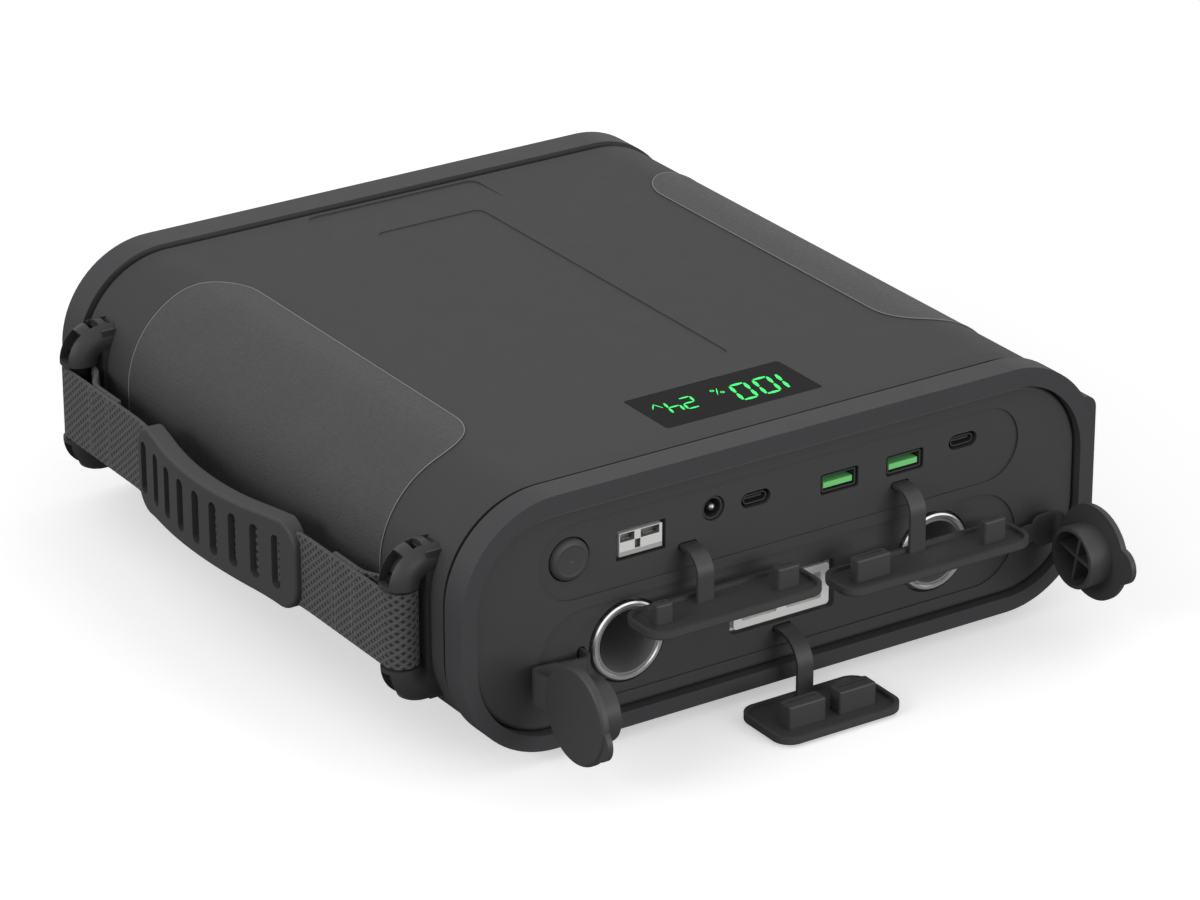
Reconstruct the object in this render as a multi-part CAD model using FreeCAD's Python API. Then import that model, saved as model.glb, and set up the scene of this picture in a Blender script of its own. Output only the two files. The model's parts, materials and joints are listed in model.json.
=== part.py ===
import FreeCAD, Part
import math
import os

V = FreeCAD.Vector
os.makedirs("parts", exist_ok=True)

# Portable power station, sizes in millimetres
# Frame: X to the right along the port side, Y from the port side to the back, Z up
# Origin: middle of the four feet, on the surface that they stand on

# Case, overall
CASE_WIDTH = 243.0
CASE_HEIGHT = 86.25
CASE_DEPTH = 257.8
CASE_CORNER_R = 34.0
FOOT_HEIGHT = 4.5
PROUD = 1.0
SLEEVE_WALL = 2.6
FRONT_BEZEL_DEPTH = 10.0
REAR_BEZEL_DEPTH = 11.8
GROOVE_WIDTH = 2.5
GASKET_DROP = 1.5
SPIGOT_LENGTH = 8.0
SPIGOT_WALL = 2.5

# Bezel opening and panels
LIP_SIDE = 5.5
LIP_TOP = 6.6
LIP_BOTTOM = 5.4
OPENING_CORNER_R = 28.0
PORT_SETBACK = 3.5
RECESS_DEPTH = 0.8
PANEL_THICKNESS = 3.8
PANEL_GAP = 0.5
PANEL_EDGE_R = 1.5
LEDGE_WIDTH = 3.0
LEDGE_THICKNESS = 2.0
SEAT_GAP = 0.1
SLIDE_FIT = 0.15

# Flats on the right that the case can stand on
STAND_OUT = 1.5
STAND_LENGTH = 51.6
STAND_CORNER_R = 5.0
STAND_SETBACK = 1.5

# Side pads
PAD_INNER_X = 80.5
PAD_LENGTH = 163.0
PAD_CENTRE_Y = 1.6
PAD_CORNER_R = 20.0
PAD_THICKNESS = 1.0
PAD_PROUD = 0.3
PAD_GAP = 0.15

# Marks in the top face
TOP_RECESS_HALF = 21.3
TOP_RECESS_FRONT = -65.0
TOP_RECESS_BACK = 87.6
TOP_RECESS_DEPTH = 0.35
TOP_RECESS_R = 3.5
BADGE_RECESS_HALF = 34.3
BADGE_RECESS_FRONT = 89.5
BADGE_RECESS_BACK = 112.8
BADGE_RECESS_DEPTH = 0.5

# Display
LCD_WIDTH = 59.8
LCD_DEPTH = 25.2
LCD_CENTRE_Y = -91.5
LCD_GLASS = 1.5
LCD_STEP = 2.9
LCD_MODULE_THICKNESS = 4.0
LCD_BOARD_WIDTH = 66.0
BOARD_THICKNESS = 1.6
LCD_POST_R = 2.0

# Port side: two pill-shaped recesses
PORT_ROW_DROP = 21.0
PILL_HALF = 92.2
UPPER_PILL_DROP = 4.5
UPPER_PILL_HEIGHT = 26.0
LOWER_PILL_DROP = 37.8
LOWER_PILL_HEIGHT = 33.0

# Power button
BUTTON_X = -80.5
BUTTON_DROP = 3.6
BUTTON_R = 7.0
BUTTON_HOLE_R = 7.5
BUTTON_OUT = 1.7
BUTTON_TRAVEL = 0.8
BUTTON_FLANGE = 1.6

# Twin direct-current connector
POLE_X = -54.0
POLE_DROP = 3.9
POLE_SIZE = 7.9
POLE_PITCH = 8.0
POLE_LENGTH = 24.0
POLE_CUT_W = 18.5
POLE_CUT_H = 10.3
POLE_POCKET = 9.0
POLE_FIT = 0.1

# Round direct-current jack
JACK_X = -26.85
JACK_HOLE_R = 4.25
JACK_BORE_R = 3.1
JACK_PIN_R = 1.25
JACK_BODY_W = 9.0
JACK_BODY_H = 11.0
JACK_BODY_L = 13.0

# USB ports
USB_A_X = (21.6, 47.25)
USB_A_DROP = 2.65
USB_A_CUT_W = 14.7
USB_A_CUT_H = 7.2
USB_A_W = 13.1
USB_A_H = 5.7
USB_A_LENGTH = 14.0
USB_A_WALL = 0.4
USB_C_X = (-10.7, 70.2)
USB_C_DROP = 0.7
USB_C_CUT_W = 11.2
USB_C_CUT_H = 5.2
USB_C_W = 8.94
USB_C_H = 3.2
USB_C_LENGTH = 9.0
USB_C_WALL = 0.35
PORT_INSET = 0.6

# Vehicle-plug sockets
SOCKET_X = 59.05
SOCKET_DROP = 37.0
SOCKET_BORE_R = 10.7
SOCKET_WALL = 0.7
SOCKET_RING_IN = 11.5
SOCKET_RING_OUT = 13.3
SOCKET_RING_OUTSTAND = 1.2
SOCKET_RING_DEPTH = 2.1
SOCKET_HOLE_R = 14.25
SOCKET_DEPTH = 37.6
SOCKET_MOUTH = 0.6
SOCKET_COLLAR_R = 15.2
SOCKET_BASE = 4.0
SOCKET_PIN_R = 2.4

# High-current connector
BLADE_PORT_DROP = 37.65
BLADE_PORT_W = 36.8
BLADE_PORT_H = 14.5
BLADE_PORT_LENGTH = 40.0
BLADE_CUT_W = 40.5
BLADE_CUT_H = 16.9
BLADE_CAVITY_W = 13.6
BLADE_CAVITY_H = 9.4
BLADE_CAVITY_X = 8.6
BLADE_CAVITY_DEPTH = 13.0
BLADE_W = 9.0
BLADE_T = 2.2

# Circuit boards
MAIN_BOARD_HALF = 98.0
MAIN_BOARD_DEPTH = 50.0
MAIN_BOARD_DROP = 5.8
MAIN_BOARD_NOTCH = 26.0
MAIN_BOARD_SETBACK = 3.0
SHELF_WIDTH = 4.0
SHELF_HEIGHT = 5.0
SHELF_X = 93.0

# Battery
CELL_R = 16.1
CELL_HEIGHT = 67.5
CELL_PITCH = 33.4
CELLS_ACROSS = 6
CELLS_DEEP = 4
CELL_BLOCK_Y = 22.0
TRAY_FLOOR = 2.0
TRAY_RIM = 9.0
TRAY_WALL = 1.6
TRAY_FOOT_GAP = 3.1
BUSBAR_T = 0.3
BMS_WIDTH = 170.0
BMS_HEIGHT = 64.0

# Carry strap
BAR_X = -128.0
BAR_SPAN = 207.7
BAR_CENTRE_Y = 0.45
BAR_R = 3.9
STRAP_DROP = 43.4
STRAP_WIDTH = 25.4
STRAP_THICKNESS = 1.8
STRAP_BOW = 5.8
STRAP_STRAIGHT = 44.0
STRAP_TAIL = 34.0
ARM_R = 6.4
ARM_BEND = 6.6
ARM_END_GAP = 0.8
ARM_STUB = 0.5
ARM_RAISE = 0.5
ARM_POCKET = 6.0
ARM_POCKET_DEPTH = 4.4
ARM_POCKET_START = 4.0
ARM_BASE = 1.2
ARM_BASE_WIDTH = 12.0
ARM_RIBS = ((56.0, 74.0),)
GRIP_LENGTH = 102.0
GRIP_CENTRE_Y = -2.4
GRIP_HEIGHT = 30.4
GRIP_WAIST = 1.7
GRIP_WALL = 2.2
GRIP_CORNER_R = 9.0
GRIP_SLOTS = 9
GRIP_SLOT_PITCH = 10.75
GRIP_SLOT_CENTRE_Y = 0.3
GRIP_TAPER = 14.0
GRIP_ROUND = 1.2
GRIP_SLOT_W = 4.4
GRIP_SLOT_H = 18.5

# Port covers
COVER_STRAP_W = 6.0
COVER_STRAP_T = 1.2
TRAY_FLOOR_T = 1.6
TRAY_RIM_T = 1.4
TRAY_RIM_H = 1.3
DC_FLAP = (-65.0, 0.9)
DC_FLAP_Y = (4.6, 24.4)
DC_FLAP_ROOT = (-36.5, 10.0)
DC_FLAP_HANG = 15.4
DC_FLAP_REACH = (9.8, 7.0)
DC_PLUGS = ((-56.5, 6.0, 4.0, 7.0), (-9.7, 8.0, 4.0, 7.5))
DC_PLUG_Y = 15.5
USB_FLAP = (8.2, 82.0)
USB_FLAP_Y = (7.2, 25.2)
USB_FLAP_ROOT = (45.4, 9.8)
USB_FLAP_HANG = 19.9
USB_FLAP_REACH = (9.8, 7.0)
USB_PLUGS = ((21.7, 13.0, 4.8, 8.0), (70.2, 8.2, 3.4, 8.0))
USB_PLUG_Y = 17.2
BLADE_FLAP = (-25.3, 22.4)
BLADE_FLAP_Y = (10.9, 37.6)
BLADE_FLAP_ROOT = (-0.1, 48.2)
BLADE_FLAP_HANG = 19.0
BLADE_FLAP_REACH = (13.0, 9.5)
BLADE_PLUGS = ((-11.3, 14.0, 6.2, 8.0), (8.1, 14.0, 6.2, 8.0))
BLADE_PLUG_Y = 27.7
FLAP_CORNER_R = 6.5
CAP_R = 15.6
CAP_FACE_R = 16.2
CAP_T = 2.6
CAP_BRIM_T = 1.0
CAP_PLUG_R = 10.5
CAP_PLUG_L = 8.6
CAP_PLUG_WALL = 1.5
CAP_RIB = 1.2
CAP_TAB_R = 6.0
CAP_ROOT_X = 76.1
CAP_ROOT_DROP = 38.2
LEFT_CAP_X = -97.0
LEFT_CAP_OUT = 27.4
LEFT_CAP_DROP = 41.4
LEFT_CAP_TAB = (13.0, 198.0)
RIGHT_CAP_X = 107.5
RIGHT_CAP_OUT = 25.2
RIGHT_CAP_DROP = 39.5
RIGHT_CAP_TAB = (14.5, 178.0)
CAP_BAND_H = 6.0
CAP_LOBE_H = 11.0
CAP_LOBE_RAISE = 1.0
CAP_BAND_OUT = 6.4
CAP_BEND_OUT = 3.6
CAP_BEND_R = 2.8
CAP_BULGE = 2.6
SLOT_CLEAR = 0.6
COVER_HINGE_OUT = 1.4
COVER_HINGE_GAP = 0.1

# Derived places
BODY_LOW = FOOT_HEIGHT
BODY_TOP = FOOT_HEIGHT + CASE_HEIGHT
MID_Z = (BODY_LOW + BODY_TOP) / 2
HALF_W = CASE_WIDTH / 2
HALF_D = CASE_DEPTH / 2
SLEEVE_HALF = HALF_W - PROUD
SLEEVE_LOW = BODY_LOW + PROUD
SLEEVE_TOP = BODY_TOP - PROUD
SLEEVE_R = CASE_CORNER_R - PROUD
SLEEVE_FRONT = -HALF_D + FRONT_BEZEL_DEPTH + GROOVE_WIDTH
SLEEVE_BACK = HALF_D - REAR_BEZEL_DEPTH - GROOVE_WIDTH
PORT_Y = -HALF_D + PORT_SETBACK
PANEL_FACE = PORT_Y - RECESS_DEPTH
PANEL_BACK = PANEL_FACE + PANEL_THICKNESS
PORT_Z = BODY_TOP - PORT_ROW_DROP
COVER_HINGE_Y = PORT_Y - COVER_HINGE_OUT


def point(plane, u, v, w):
    if plane == "xz":
        return V(u, w, v)
    if plane == "xy":
        return V(u, v, w)
    return V(w, u, v)


def normal(plane, length):
    return point(plane, 0, 0, length)


def outline(plane, start, steps, w):
    # steps: a point for a line, a pair of points for an arc through the first
    edges = []
    last = point(plane, start[0], start[1], w)
    for step in steps:
        if isinstance(step[0], tuple):
            middle = point(plane, step[0][0], step[0][1], w)
            end = point(plane, step[1][0], step[1][1], w)
            edges.append(Part.Arc(last, middle, end).toShape())
        else:
            end = point(plane, step[0], step[1], w)
            edges.append(Part.makeLine(last, end))
        last = end
    first = point(plane, start[0], start[1], w)
    if (first - last).Length > 1e-6:
        edges.append(Part.makeLine(last, first))
    return Part.Wire(edges)


def slab(plane, start, steps, w0, w1):
    face = Part.Face(outline(plane, start, steps, w0))
    return face.extrude(normal(plane, w1 - w0))


def rounded(plane, u0, u1, v0, v1, r, w0, w1):
    k = r * (1 - math.sqrt(0.5))
    r = min(r, (u1 - u0) / 2 - 0.001, (v1 - v0) / 2 - 0.001)
    k = r * (1 - math.sqrt(0.5))
    steps = [
        (u1 - r, v0),
        ((u1 - k, v0 + k), (u1, v0 + r)),
        (u1, v1 - r),
        ((u1 - k, v1 - k), (u1 - r, v1)),
        (u0 + r, v1),
        ((u0 + k, v1 - k), (u0, v1 - r)),
        (u0, v0 + r),
        ((u0 + k, v0 + k), (u0 + r, v0)),
    ]
    return slab(plane, (u0 + r, v0), steps, w0, w1)


def box(x0, x1, y0, y1, z0, z1):
    return Part.makeBox(x1 - x0, y1 - y0, z1 - z0, V(x0, y0, z0))


def rod_y(x, z, r, y0, y1):
    return Part.makeCylinder(r, y1 - y0, V(x, y0, z), V(0, 1, 0))


def rod_z(x, y, r, z0, z1):
    return Part.makeCylinder(r, z1 - z0, V(x, y, z0), V(0, 0, 1))


def turned_y(x, z, profile):
    # profile: (radius, y) points, turned about the line through x, z along Y
    points = [V(x + r, y, z) for r, y in profile]
    wire = Part.makePolygon(points + [points[0]])
    return Part.Face(wire).revolve(V(x, 0, z), V(0, 1, 0), 360)


def case_section(inset, y0, y1):
    return rounded(
        "xz",
        -HALF_W + inset,
        HALF_W - inset,
        BODY_LOW + inset,
        BODY_TOP - inset,
        CASE_CORNER_R - inset,
        y0,
        y1,
    )


def opening_section(inset, y0, y1):
    return rounded(
        "xz",
        -HALF_W + LIP_SIDE + inset,
        HALF_W - LIP_SIDE - inset,
        BODY_LOW + LIP_BOTTOM + inset,
        BODY_TOP - LIP_TOP - inset,
        OPENING_CORNER_R - inset,
        y0,
        y1,
    )


def joined(shapes):
    result = shapes[0].multiFuse(shapes[1:]) if len(shapes) > 1 else shapes[0]
    return result.removeSplitter()


def cut_all(shape, tools):
    return shape.cut(tools[0].multiFuse(tools[1:])) if len(tools) > 1 else shape.cut(tools[0])


def mirror_y(shape):
    return shape.mirror(V(0, 0, 0), V(0, 1, 0))


def mirror_x(shape):
    return shape.mirror(V(0, 0, 0), V(1, 0, 0))


def strip(plane, path, thickness, w0, w1, round_start):
    # bent band: path holds (u, v, corner radius), ends have radius 0
    def corner(i, side):
        p = path[i]
        dirs = []
        for a, b in ((i - 1, i), (i, i + 1)):
            if a >= 0 and b < len(path):
                du, dv = path[b][0] - path[a][0], path[b][1] - path[a][1]
                n = math.hypot(du, dv)
                dirs.append((du / n, dv / n))
        if len(dirs) == 1:
            d = dirs[0]
            return [(p[0] - d[1] * side, p[1] + d[0] * side)]
        d0, d1 = dirs
        cross = d0[0] * d1[1] - d0[1] * d1[0]
        dot = d0[0] * d1[0] + d0[1] * d1[1]
        half = math.atan2(abs(cross), dot) / 2
        turn = 1 if cross > 0 else -1
        reach = p[2] * math.tan(half)
        start = (p[0] - d0[0] * reach, p[1] - d0[1] * reach)
        centre = (start[0] - d0[1] * p[2] * turn, start[1] + d0[0] * p[2] * turn)
        r = p[2] - side * turn
        to_start = (d0[1] * turn, -d0[0] * turn)
        to_end = (d1[1] * turn, -d1[0] * turn)
        mid = (to_start[0] + to_end[0], to_start[1] + to_end[1])
        n = math.hypot(mid[0], mid[1])
        mid = (mid[0] / n, mid[1] / n)
        return [(centre[0] + r * k[0], centre[1] + r * k[1]) for k in (to_start, mid, to_end)]

    h = thickness / 2
    left = [corner(i, h) for i in range(len(path))]
    right = [corner(i, -h) for i in range(len(path))]
    steps = []
    for pts in left[1:]:
        steps.append(pts[0])
        if len(pts) == 3:
            steps.append((pts[1], pts[2]))
    for pts in reversed(right):
        steps.append(pts[-1])
        if len(pts) == 3:
            steps.append((pts[1], pts[0]))
    if round_start:
        d0 = (path[1][0] - path[0][0], path[1][1] - path[0][1])
        n = math.hypot(d0[0], d0[1])
        tip = (path[0][0] - d0[0] / n * h, path[0][1] - d0[1] / n * h)
        steps.append((tip, left[0][0]))
    return slab(plane, left[0][0], steps, w0, w1)


nodes = {}


def keep(name, shapes):
    if not isinstance(shapes, list):
        shapes = [shapes]
    solids = []
    for shape in shapes:
        solids.extend(shape.Solids)
    nodes[name] = solids


# Pad outline and the shallow pocket that it lies in
def pad_prism(inset):
    return rounded(
        "xy",
        -HALF_W - 40.0,
        -PAD_INNER_X - inset,
        PAD_CENTRE_Y - PAD_LENGTH / 2 + inset,
        PAD_CENTRE_Y + PAD_LENGTH / 2 - inset,
        PAD_CORNER_R - inset,
        -20.0,
        BODY_TOP + 20.0,
    )


pad_low, pad_high = PAD_CENTRE_Y - PAD_LENGTH / 2 - 5, PAD_CENTRE_Y + PAD_LENGTH / 2 + 5
pad_seat = PROUD + PAD_THICKNESS - PAD_PROUD
pocket_ring = case_section(PROUD - 2.0, pad_low, pad_high)
pocket_ring = pocket_ring.cut(case_section(pad_seat, pad_low, pad_high))
pad_pocket = pad_prism(0.0).common(pocket_ring)
pad_ring = case_section(PROUD - PAD_PROUD, pad_low, pad_high)
pad_ring = pad_ring.cut(case_section(pad_seat - 0.05, pad_low, pad_high))
left_pad = pad_prism(PAD_GAP).common(pad_ring)
keep("left_pad", left_pad)
keep("right_pad", mirror_x(left_pad))

# Sleeve: round-cornered tube with pockets for pads, display and top marks
sleeve = case_section(PROUD, SLEEVE_FRONT, SLEEVE_BACK)
sleeve = sleeve.cut(case_section(PROUD + SLEEVE_WALL, SLEEVE_FRONT - 1, SLEEVE_BACK + 1))
lcd_y0 = LCD_CENTRE_Y - LCD_DEPTH / 2
lcd_y1 = LCD_CENTRE_Y + LCD_DEPTH / 2
lcd_half = LCD_WIDTH / 2
inside_top = SLEEVE_TOP - SLEEVE_WALL
glass_pocket = rounded(
    "xy",
    -lcd_half - 0.1,
    lcd_half + 0.1,
    lcd_y0 - 0.1,
    lcd_y1 + 0.1,
    1.3,
    SLEEVE_TOP - LCD_GLASS - 0.1,
    SLEEVE_TOP + 1,
)
module_hole = box(
    -lcd_half + LCD_STEP,
    lcd_half - LCD_STEP,
    lcd_y0 + LCD_STEP,
    lcd_y1 - LCD_STEP,
    inside_top - 1,
    SLEEVE_TOP,
)
top_recess = rounded(
    "xy",
    -TOP_RECESS_HALF,
    TOP_RECESS_HALF,
    TOP_RECESS_FRONT,
    TOP_RECESS_BACK,
    TOP_RECESS_R,
    SLEEVE_TOP - TOP_RECESS_DEPTH,
    SLEEVE_TOP + 1,
)
badge_wedge = slab(
    "yz",
    (BADGE_RECESS_FRONT, SLEEVE_TOP),
    [
        (BADGE_RECESS_BACK + 1, SLEEVE_TOP - BADGE_RECESS_DEPTH),
        (BADGE_RECESS_BACK + 1, SLEEVE_TOP + 1),
        (BADGE_RECESS_FRONT, SLEEVE_TOP + 1),
    ],
    -BADGE_RECESS_HALF - 1,
    BADGE_RECESS_HALF + 1,
)
badge_recess = badge_wedge.common(
    rounded(
        "xy",
        -BADGE_RECESS_HALF,
        BADGE_RECESS_HALF,
        BADGE_RECESS_FRONT - 12,
        BADGE_RECESS_BACK,
        TOP_RECESS_R,
        SLEEVE_TOP - 5,
        SLEEVE_TOP + 5,
    )
)
sleeve = cut_all(
    sleeve,
    [pad_pocket, mirror_x(pad_pocket), glass_pocket, module_hole, top_recess, badge_recess],
)
module_low = SLEEVE_TOP - LCD_GLASS - 0.2 - LCD_MODULE_THICKNESS
post_x = lcd_half + 0.4
posts = []
for sx in (-1, 1):
    for sy in (-1, 1):
        posts.append(
            rod_z(
                sx * post_x,
                LCD_CENTRE_Y + sy * (LCD_DEPTH / 2 - 3.0),
                LCD_POST_R,
                module_low,
                inside_top + 0.5,
            )
        )
sleeve = joined([sleeve] + posts)
keep("body_sleeve", sleeve)


# Bezels: ring, ledge behind the panel, spigot into the sleeve and a stand flat
def bezel(depth):
    face = -HALF_D
    back = face + depth
    ring = case_section(0.0, face, back)
    ring = ring.cut(opening_section(0.0, face - 1, back + 1))
    ledge_y = PANEL_BACK + SEAT_GAP
    ledge = case_section(LIP_SIDE - 0.5, ledge_y, ledge_y + LEDGE_THICKNESS)
    ledge = ledge.cut(opening_section(LEDGE_WIDTH, ledge_y - 1, ledge_y + LEDGE_THICKNESS + 1))
    inner = PROUD + SLEEVE_WALL + SLIDE_FIT
    spigot_end = back + GROOVE_WIDTH + SPIGOT_LENGTH
    spigot = case_section(inner, back - 2.0, spigot_end)
    spigot = spigot.cut(case_section(inner + SPIGOT_WALL, back - 3.0, spigot_end + 1))
    flat = rounded(
        "xz",
        HALF_W - LIP_SIDE - 2.0,
        HALF_W + STAND_OUT,
        MID_Z - STAND_LENGTH / 2,
        MID_Z + STAND_LENGTH / 2,
        STAND_CORNER_R,
        face + STAND_SETBACK,
        back,
    )
    flat = flat.cut(opening_section(0.0, face - 1, back + 1))
    return joined([ring, ledge, spigot, flat])


def gasket(depth):
    back = -HALF_D + depth
    ring = case_section(PROUD + GASKET_DROP, back + SEAT_GAP / 2, back + GROOVE_WIDTH - SEAT_GAP / 2)
    inner = PROUD + SLEEVE_WALL + SLIDE_FIT - 0.1
    return ring.cut(case_section(inner, back - 1, back + GROOVE_WIDTH + 1))


front_bezel = bezel(FRONT_BEZEL_DEPTH)
rear_bezel = mirror_y(bezel(REAR_BEZEL_DEPTH))
keep("front_gasket", gasket(FRONT_BEZEL_DEPTH))
keep("rear_gasket", mirror_y(gasket(REAR_BEZEL_DEPTH)))


def plain_panel():
    panel = opening_section(PANEL_GAP, PANEL_FACE, PANEL_BACK)
    rim = [e for e in panel.Edges if abs(e.BoundBox.YMax - PANEL_FACE) < 1e-4]
    return panel.makeFillet(PANEL_EDGE_R, rim)


# Port panel: recesses, port openings, cover slots and shelves for the board
def pill(drop, height):
    return rounded(
        "xz",
        -PILL_HALF,
        PILL_HALF,
        PORT_Z - drop - height / 2,
        PORT_Z - drop + height / 2,
        height / 2,
        PANEL_FACE - 1,
        PORT_Y,
    )


def window(x, drop, width, height, r):
    z = PORT_Z - drop
    return rounded(
        "xz",
        x - width / 2,
        x + width / 2,
        z - height / 2,
        z + height / 2,
        r,
        PANEL_FACE - 1,
        PANEL_BACK + 1,
    )


strap_slot_w = COVER_STRAP_W + 2 * SLOT_CLEAR
strap_slot_h = COVER_STRAP_T + 2 * SLOT_CLEAR
cuts = [
    pill(UPPER_PILL_DROP, UPPER_PILL_HEIGHT),
    pill(LOWER_PILL_DROP, LOWER_PILL_HEIGHT),
    rod_y(BUTTON_X, PORT_Z - BUTTON_DROP, BUTTON_HOLE_R, PANEL_FACE - 1, PANEL_BACK + 1),
    window(POLE_X, POLE_DROP, POLE_CUT_W, POLE_CUT_H, 0.6),
    rod_y(JACK_X, PORT_Z, JACK_HOLE_R, PANEL_FACE - 1, PANEL_BACK + 1),
    window(0.0, BLADE_PORT_DROP, BLADE_CUT_W, BLADE_CUT_H, 1.5),
]
for x in USB_A_X:
    cuts.append(window(x, USB_A_DROP, USB_A_CUT_W, USB_A_CUT_H, 1.0))
for x in USB_C_X:
    cuts.append(window(x, USB_C_DROP, USB_C_CUT_W, USB_C_CUT_H, USB_C_CUT_H / 2))
for root in (DC_FLAP_ROOT, USB_FLAP_ROOT, BLADE_FLAP_ROOT):
    cuts.append(window(root[0], root[1], strap_slot_w, strap_slot_h, 1.0))
for side in (-1, 1):
    cuts.append(
        rod_y(side * SOCKET_X, PORT_Z - SOCKET_DROP, SOCKET_HOLE_R, PANEL_FACE - 1, PANEL_BACK + 1)
    )
    cuts.append(
        window(
            side * CAP_ROOT_X,
            CAP_ROOT_DROP,
            strap_slot_h + 0.6,
            CAP_BAND_H + 2 * SLOT_CLEAR,
            1.4,
        )
    )
front_panel = cut_all(plain_panel(), cuts)
board_low = PORT_Z - MAIN_BOARD_DROP - BOARD_THICKNESS
shelves = []
for side in (-1, 1):
    shelves.append(
        box(
            side * SHELF_X - SHELF_WIDTH / 2,
            side * SHELF_X + SHELF_WIDTH / 2,
            PANEL_BACK - 0.5,
            PANEL_BACK + MAIN_BOARD_DEPTH,
            board_low - 0.05 - SHELF_HEIGHT,
            board_low - 0.05,
        )
    )
# A pocket behind the panel holds the twin connector
pole_half_w = POLE_PITCH / 2 + POLE_SIZE / 2 + POLE_FIT
pole_half_h = POLE_SIZE / 2 + POLE_FIT
pole_z = PORT_Z - POLE_DROP
pocket_w = POLE_CUT_W / 2 + 1.5
pocket_h = POLE_CUT_H / 2 + 1.5
pocket = box(
    POLE_X - pocket_w,
    POLE_X + pocket_w,
    PANEL_BACK - 0.5,
    PANEL_BACK + POLE_POCKET,
    pole_z - pocket_h,
    pole_z + pocket_h,
)
pocket_hole = box(
    POLE_X - pole_half_w,
    POLE_X + pole_half_w,
    PANEL_FACE - 1,
    PANEL_BACK + POLE_POCKET + 1,
    pole_z - pole_half_h,
    pole_z + pole_half_h,
)
front_panel = joined([front_panel] + shelves)
front_panel = joined([front_panel, pocket.cut(pocket_hole)])
front_panel = front_panel.cut(
    window(POLE_X, POLE_DROP, POLE_CUT_W, POLE_CUT_H, 0.6).cut(
        box(-HALF_W, HALF_W, PANEL_BACK - 0.8, PANEL_BACK + 9, BODY_LOW, BODY_TOP)
    )
)
keep("front_panel", front_panel)

# Closing panel of the back, with six countersunk screws into the ledge
SCREW_R = 1.5
SCREW_HEAD_R = 3.0
SCREW_HEAD = 1.7
SCREW_LENGTH = 5.2
SCREW_INSET = 5.0
screw_places = []
low_z = BODY_LOW + LIP_BOTTOM + SCREW_INSET - 2.4
high_z = BODY_TOP - LIP_TOP - SCREW_INSET + 2.4
for x in (-75.0, 0.0, 75.0):
    screw_places.append((x, low_z))
    screw_places.append((x, high_z))


def screw(x, z, grow):
    top = PANEL_FACE - grow / 10 + 0.1
    return turned_y(
        x,
        z,
        [
            (0.0, top),
            (SCREW_HEAD_R + grow, top),
            (SCREW_R + grow, top + SCREW_HEAD),
            (SCREW_R + grow, top + SCREW_LENGTH),
            (0.0, top + SCREW_LENGTH),
        ],
    )


rear_panel = plain_panel()
screw_holes = []
for x, z in screw_places:
    screw_holes.append(screw(x, z, SEAT_GAP))
    screw_holes.append(
        rod_y(x, z, SCREW_HEAD_R + SEAT_GAP, PANEL_FACE - 1, PANEL_FACE + 0.11)
    )
rear_panel = cut_all(rear_panel, screw_holes)
keep("rear_panel", mirror_y(rear_panel))
keep("rear_panel_screws", [mirror_y(screw(x, z, 0.0)) for x, z in screw_places])
rear_bezel = cut_all(rear_bezel, [mirror_y(screw(x, z, 0.02)) for x, z in screw_places])
keep("front_bezel", front_bezel)
keep("rear_bezel", rear_bezel)

# Rubber feet
FOOT_LENGTH = 30.0
FOOT_WIDTH = 14.0
FOOT_X = 66.0
FOOT_Y = 98.0
feet = []
for fx, fy in ((-1, -1), (-1, 1), (1, -1), (1, 1), (0, 0)):
    fx, fy = fx * FOOT_X, fy * FOOT_Y
    hl, hw = FOOT_LENGTH / 2, FOOT_WIDTH / 2
    feet.append(rounded("xy", fx - hl, fx + hl, fy - hw, fy + hw, hw, 0.0, SLEEVE_LOW))
keep("rubber_feet", feet)

# Display
glass_low = SLEEVE_TOP - LCD_GLASS - 0.05
keep(
    "lcd_window",
    rounded("xy", -lcd_half, lcd_half, lcd_y0, lcd_y1, 1.2, glass_low, SLEEVE_TOP - 0.05),
)
keep(
    "lcd_module",
    box(
        -lcd_half + LCD_STEP + 0.3,
        lcd_half - LCD_STEP - 0.3,
        lcd_y0 + LCD_STEP + 0.3,
        lcd_y1 - LCD_STEP - 0.3,
        module_low,
        module_low + LCD_MODULE_THICKNESS,
    ),
)
keep(
    "lcd_board",
    box(
        -LCD_BOARD_WIDTH / 2,
        LCD_BOARD_WIDTH / 2,
        lcd_y0,
        lcd_y1,
        module_low - 0.05 - BOARD_THICKNESS,
        module_low - 0.05,
    ),
)

# Power button, a domed cap with a flange behind the panel, and its switch
button_z = PORT_Z - BUTTON_DROP
flange_y = PANEL_BACK + 0.3
button = turned_y(
    BUTTON_X,
    button_z,
    [
        (0.0, PORT_Y - BUTTON_OUT + 0.2),
        (4.6, PORT_Y - BUTTON_OUT + 0.1),
        (5.3, PORT_Y - BUTTON_OUT),
        (6.1, PORT_Y - BUTTON_OUT + 0.25),
        (6.7, PORT_Y - BUTTON_OUT + 0.8),
        (BUTTON_R, PORT_Y - BUTTON_OUT + 1.6),
        (BUTTON_R, flange_y),
        (BUTTON_R + BUTTON_FLANGE, flange_y),
        (BUTTON_R + BUTTON_FLANGE, flange_y + 1.0),
        (0.0, flange_y + 1.0),
    ],
)
keep("power_button", button)
switch_y = flange_y + 1.0 + BUTTON_TRAVEL + 0.1
board_top = PORT_Z - MAIN_BOARD_DROP
switch = joined(
    [
        rod_y(BUTTON_X, button_z, 1.6, switch_y, switch_y + 1.5),
        box(BUTTON_X - 3.1, BUTTON_X + 3.1, switch_y + 1.0, switch_y + 5.0, board_top + 0.05, button_z + 3.1),
    ]
)
keep("button_switch", switch)

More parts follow.
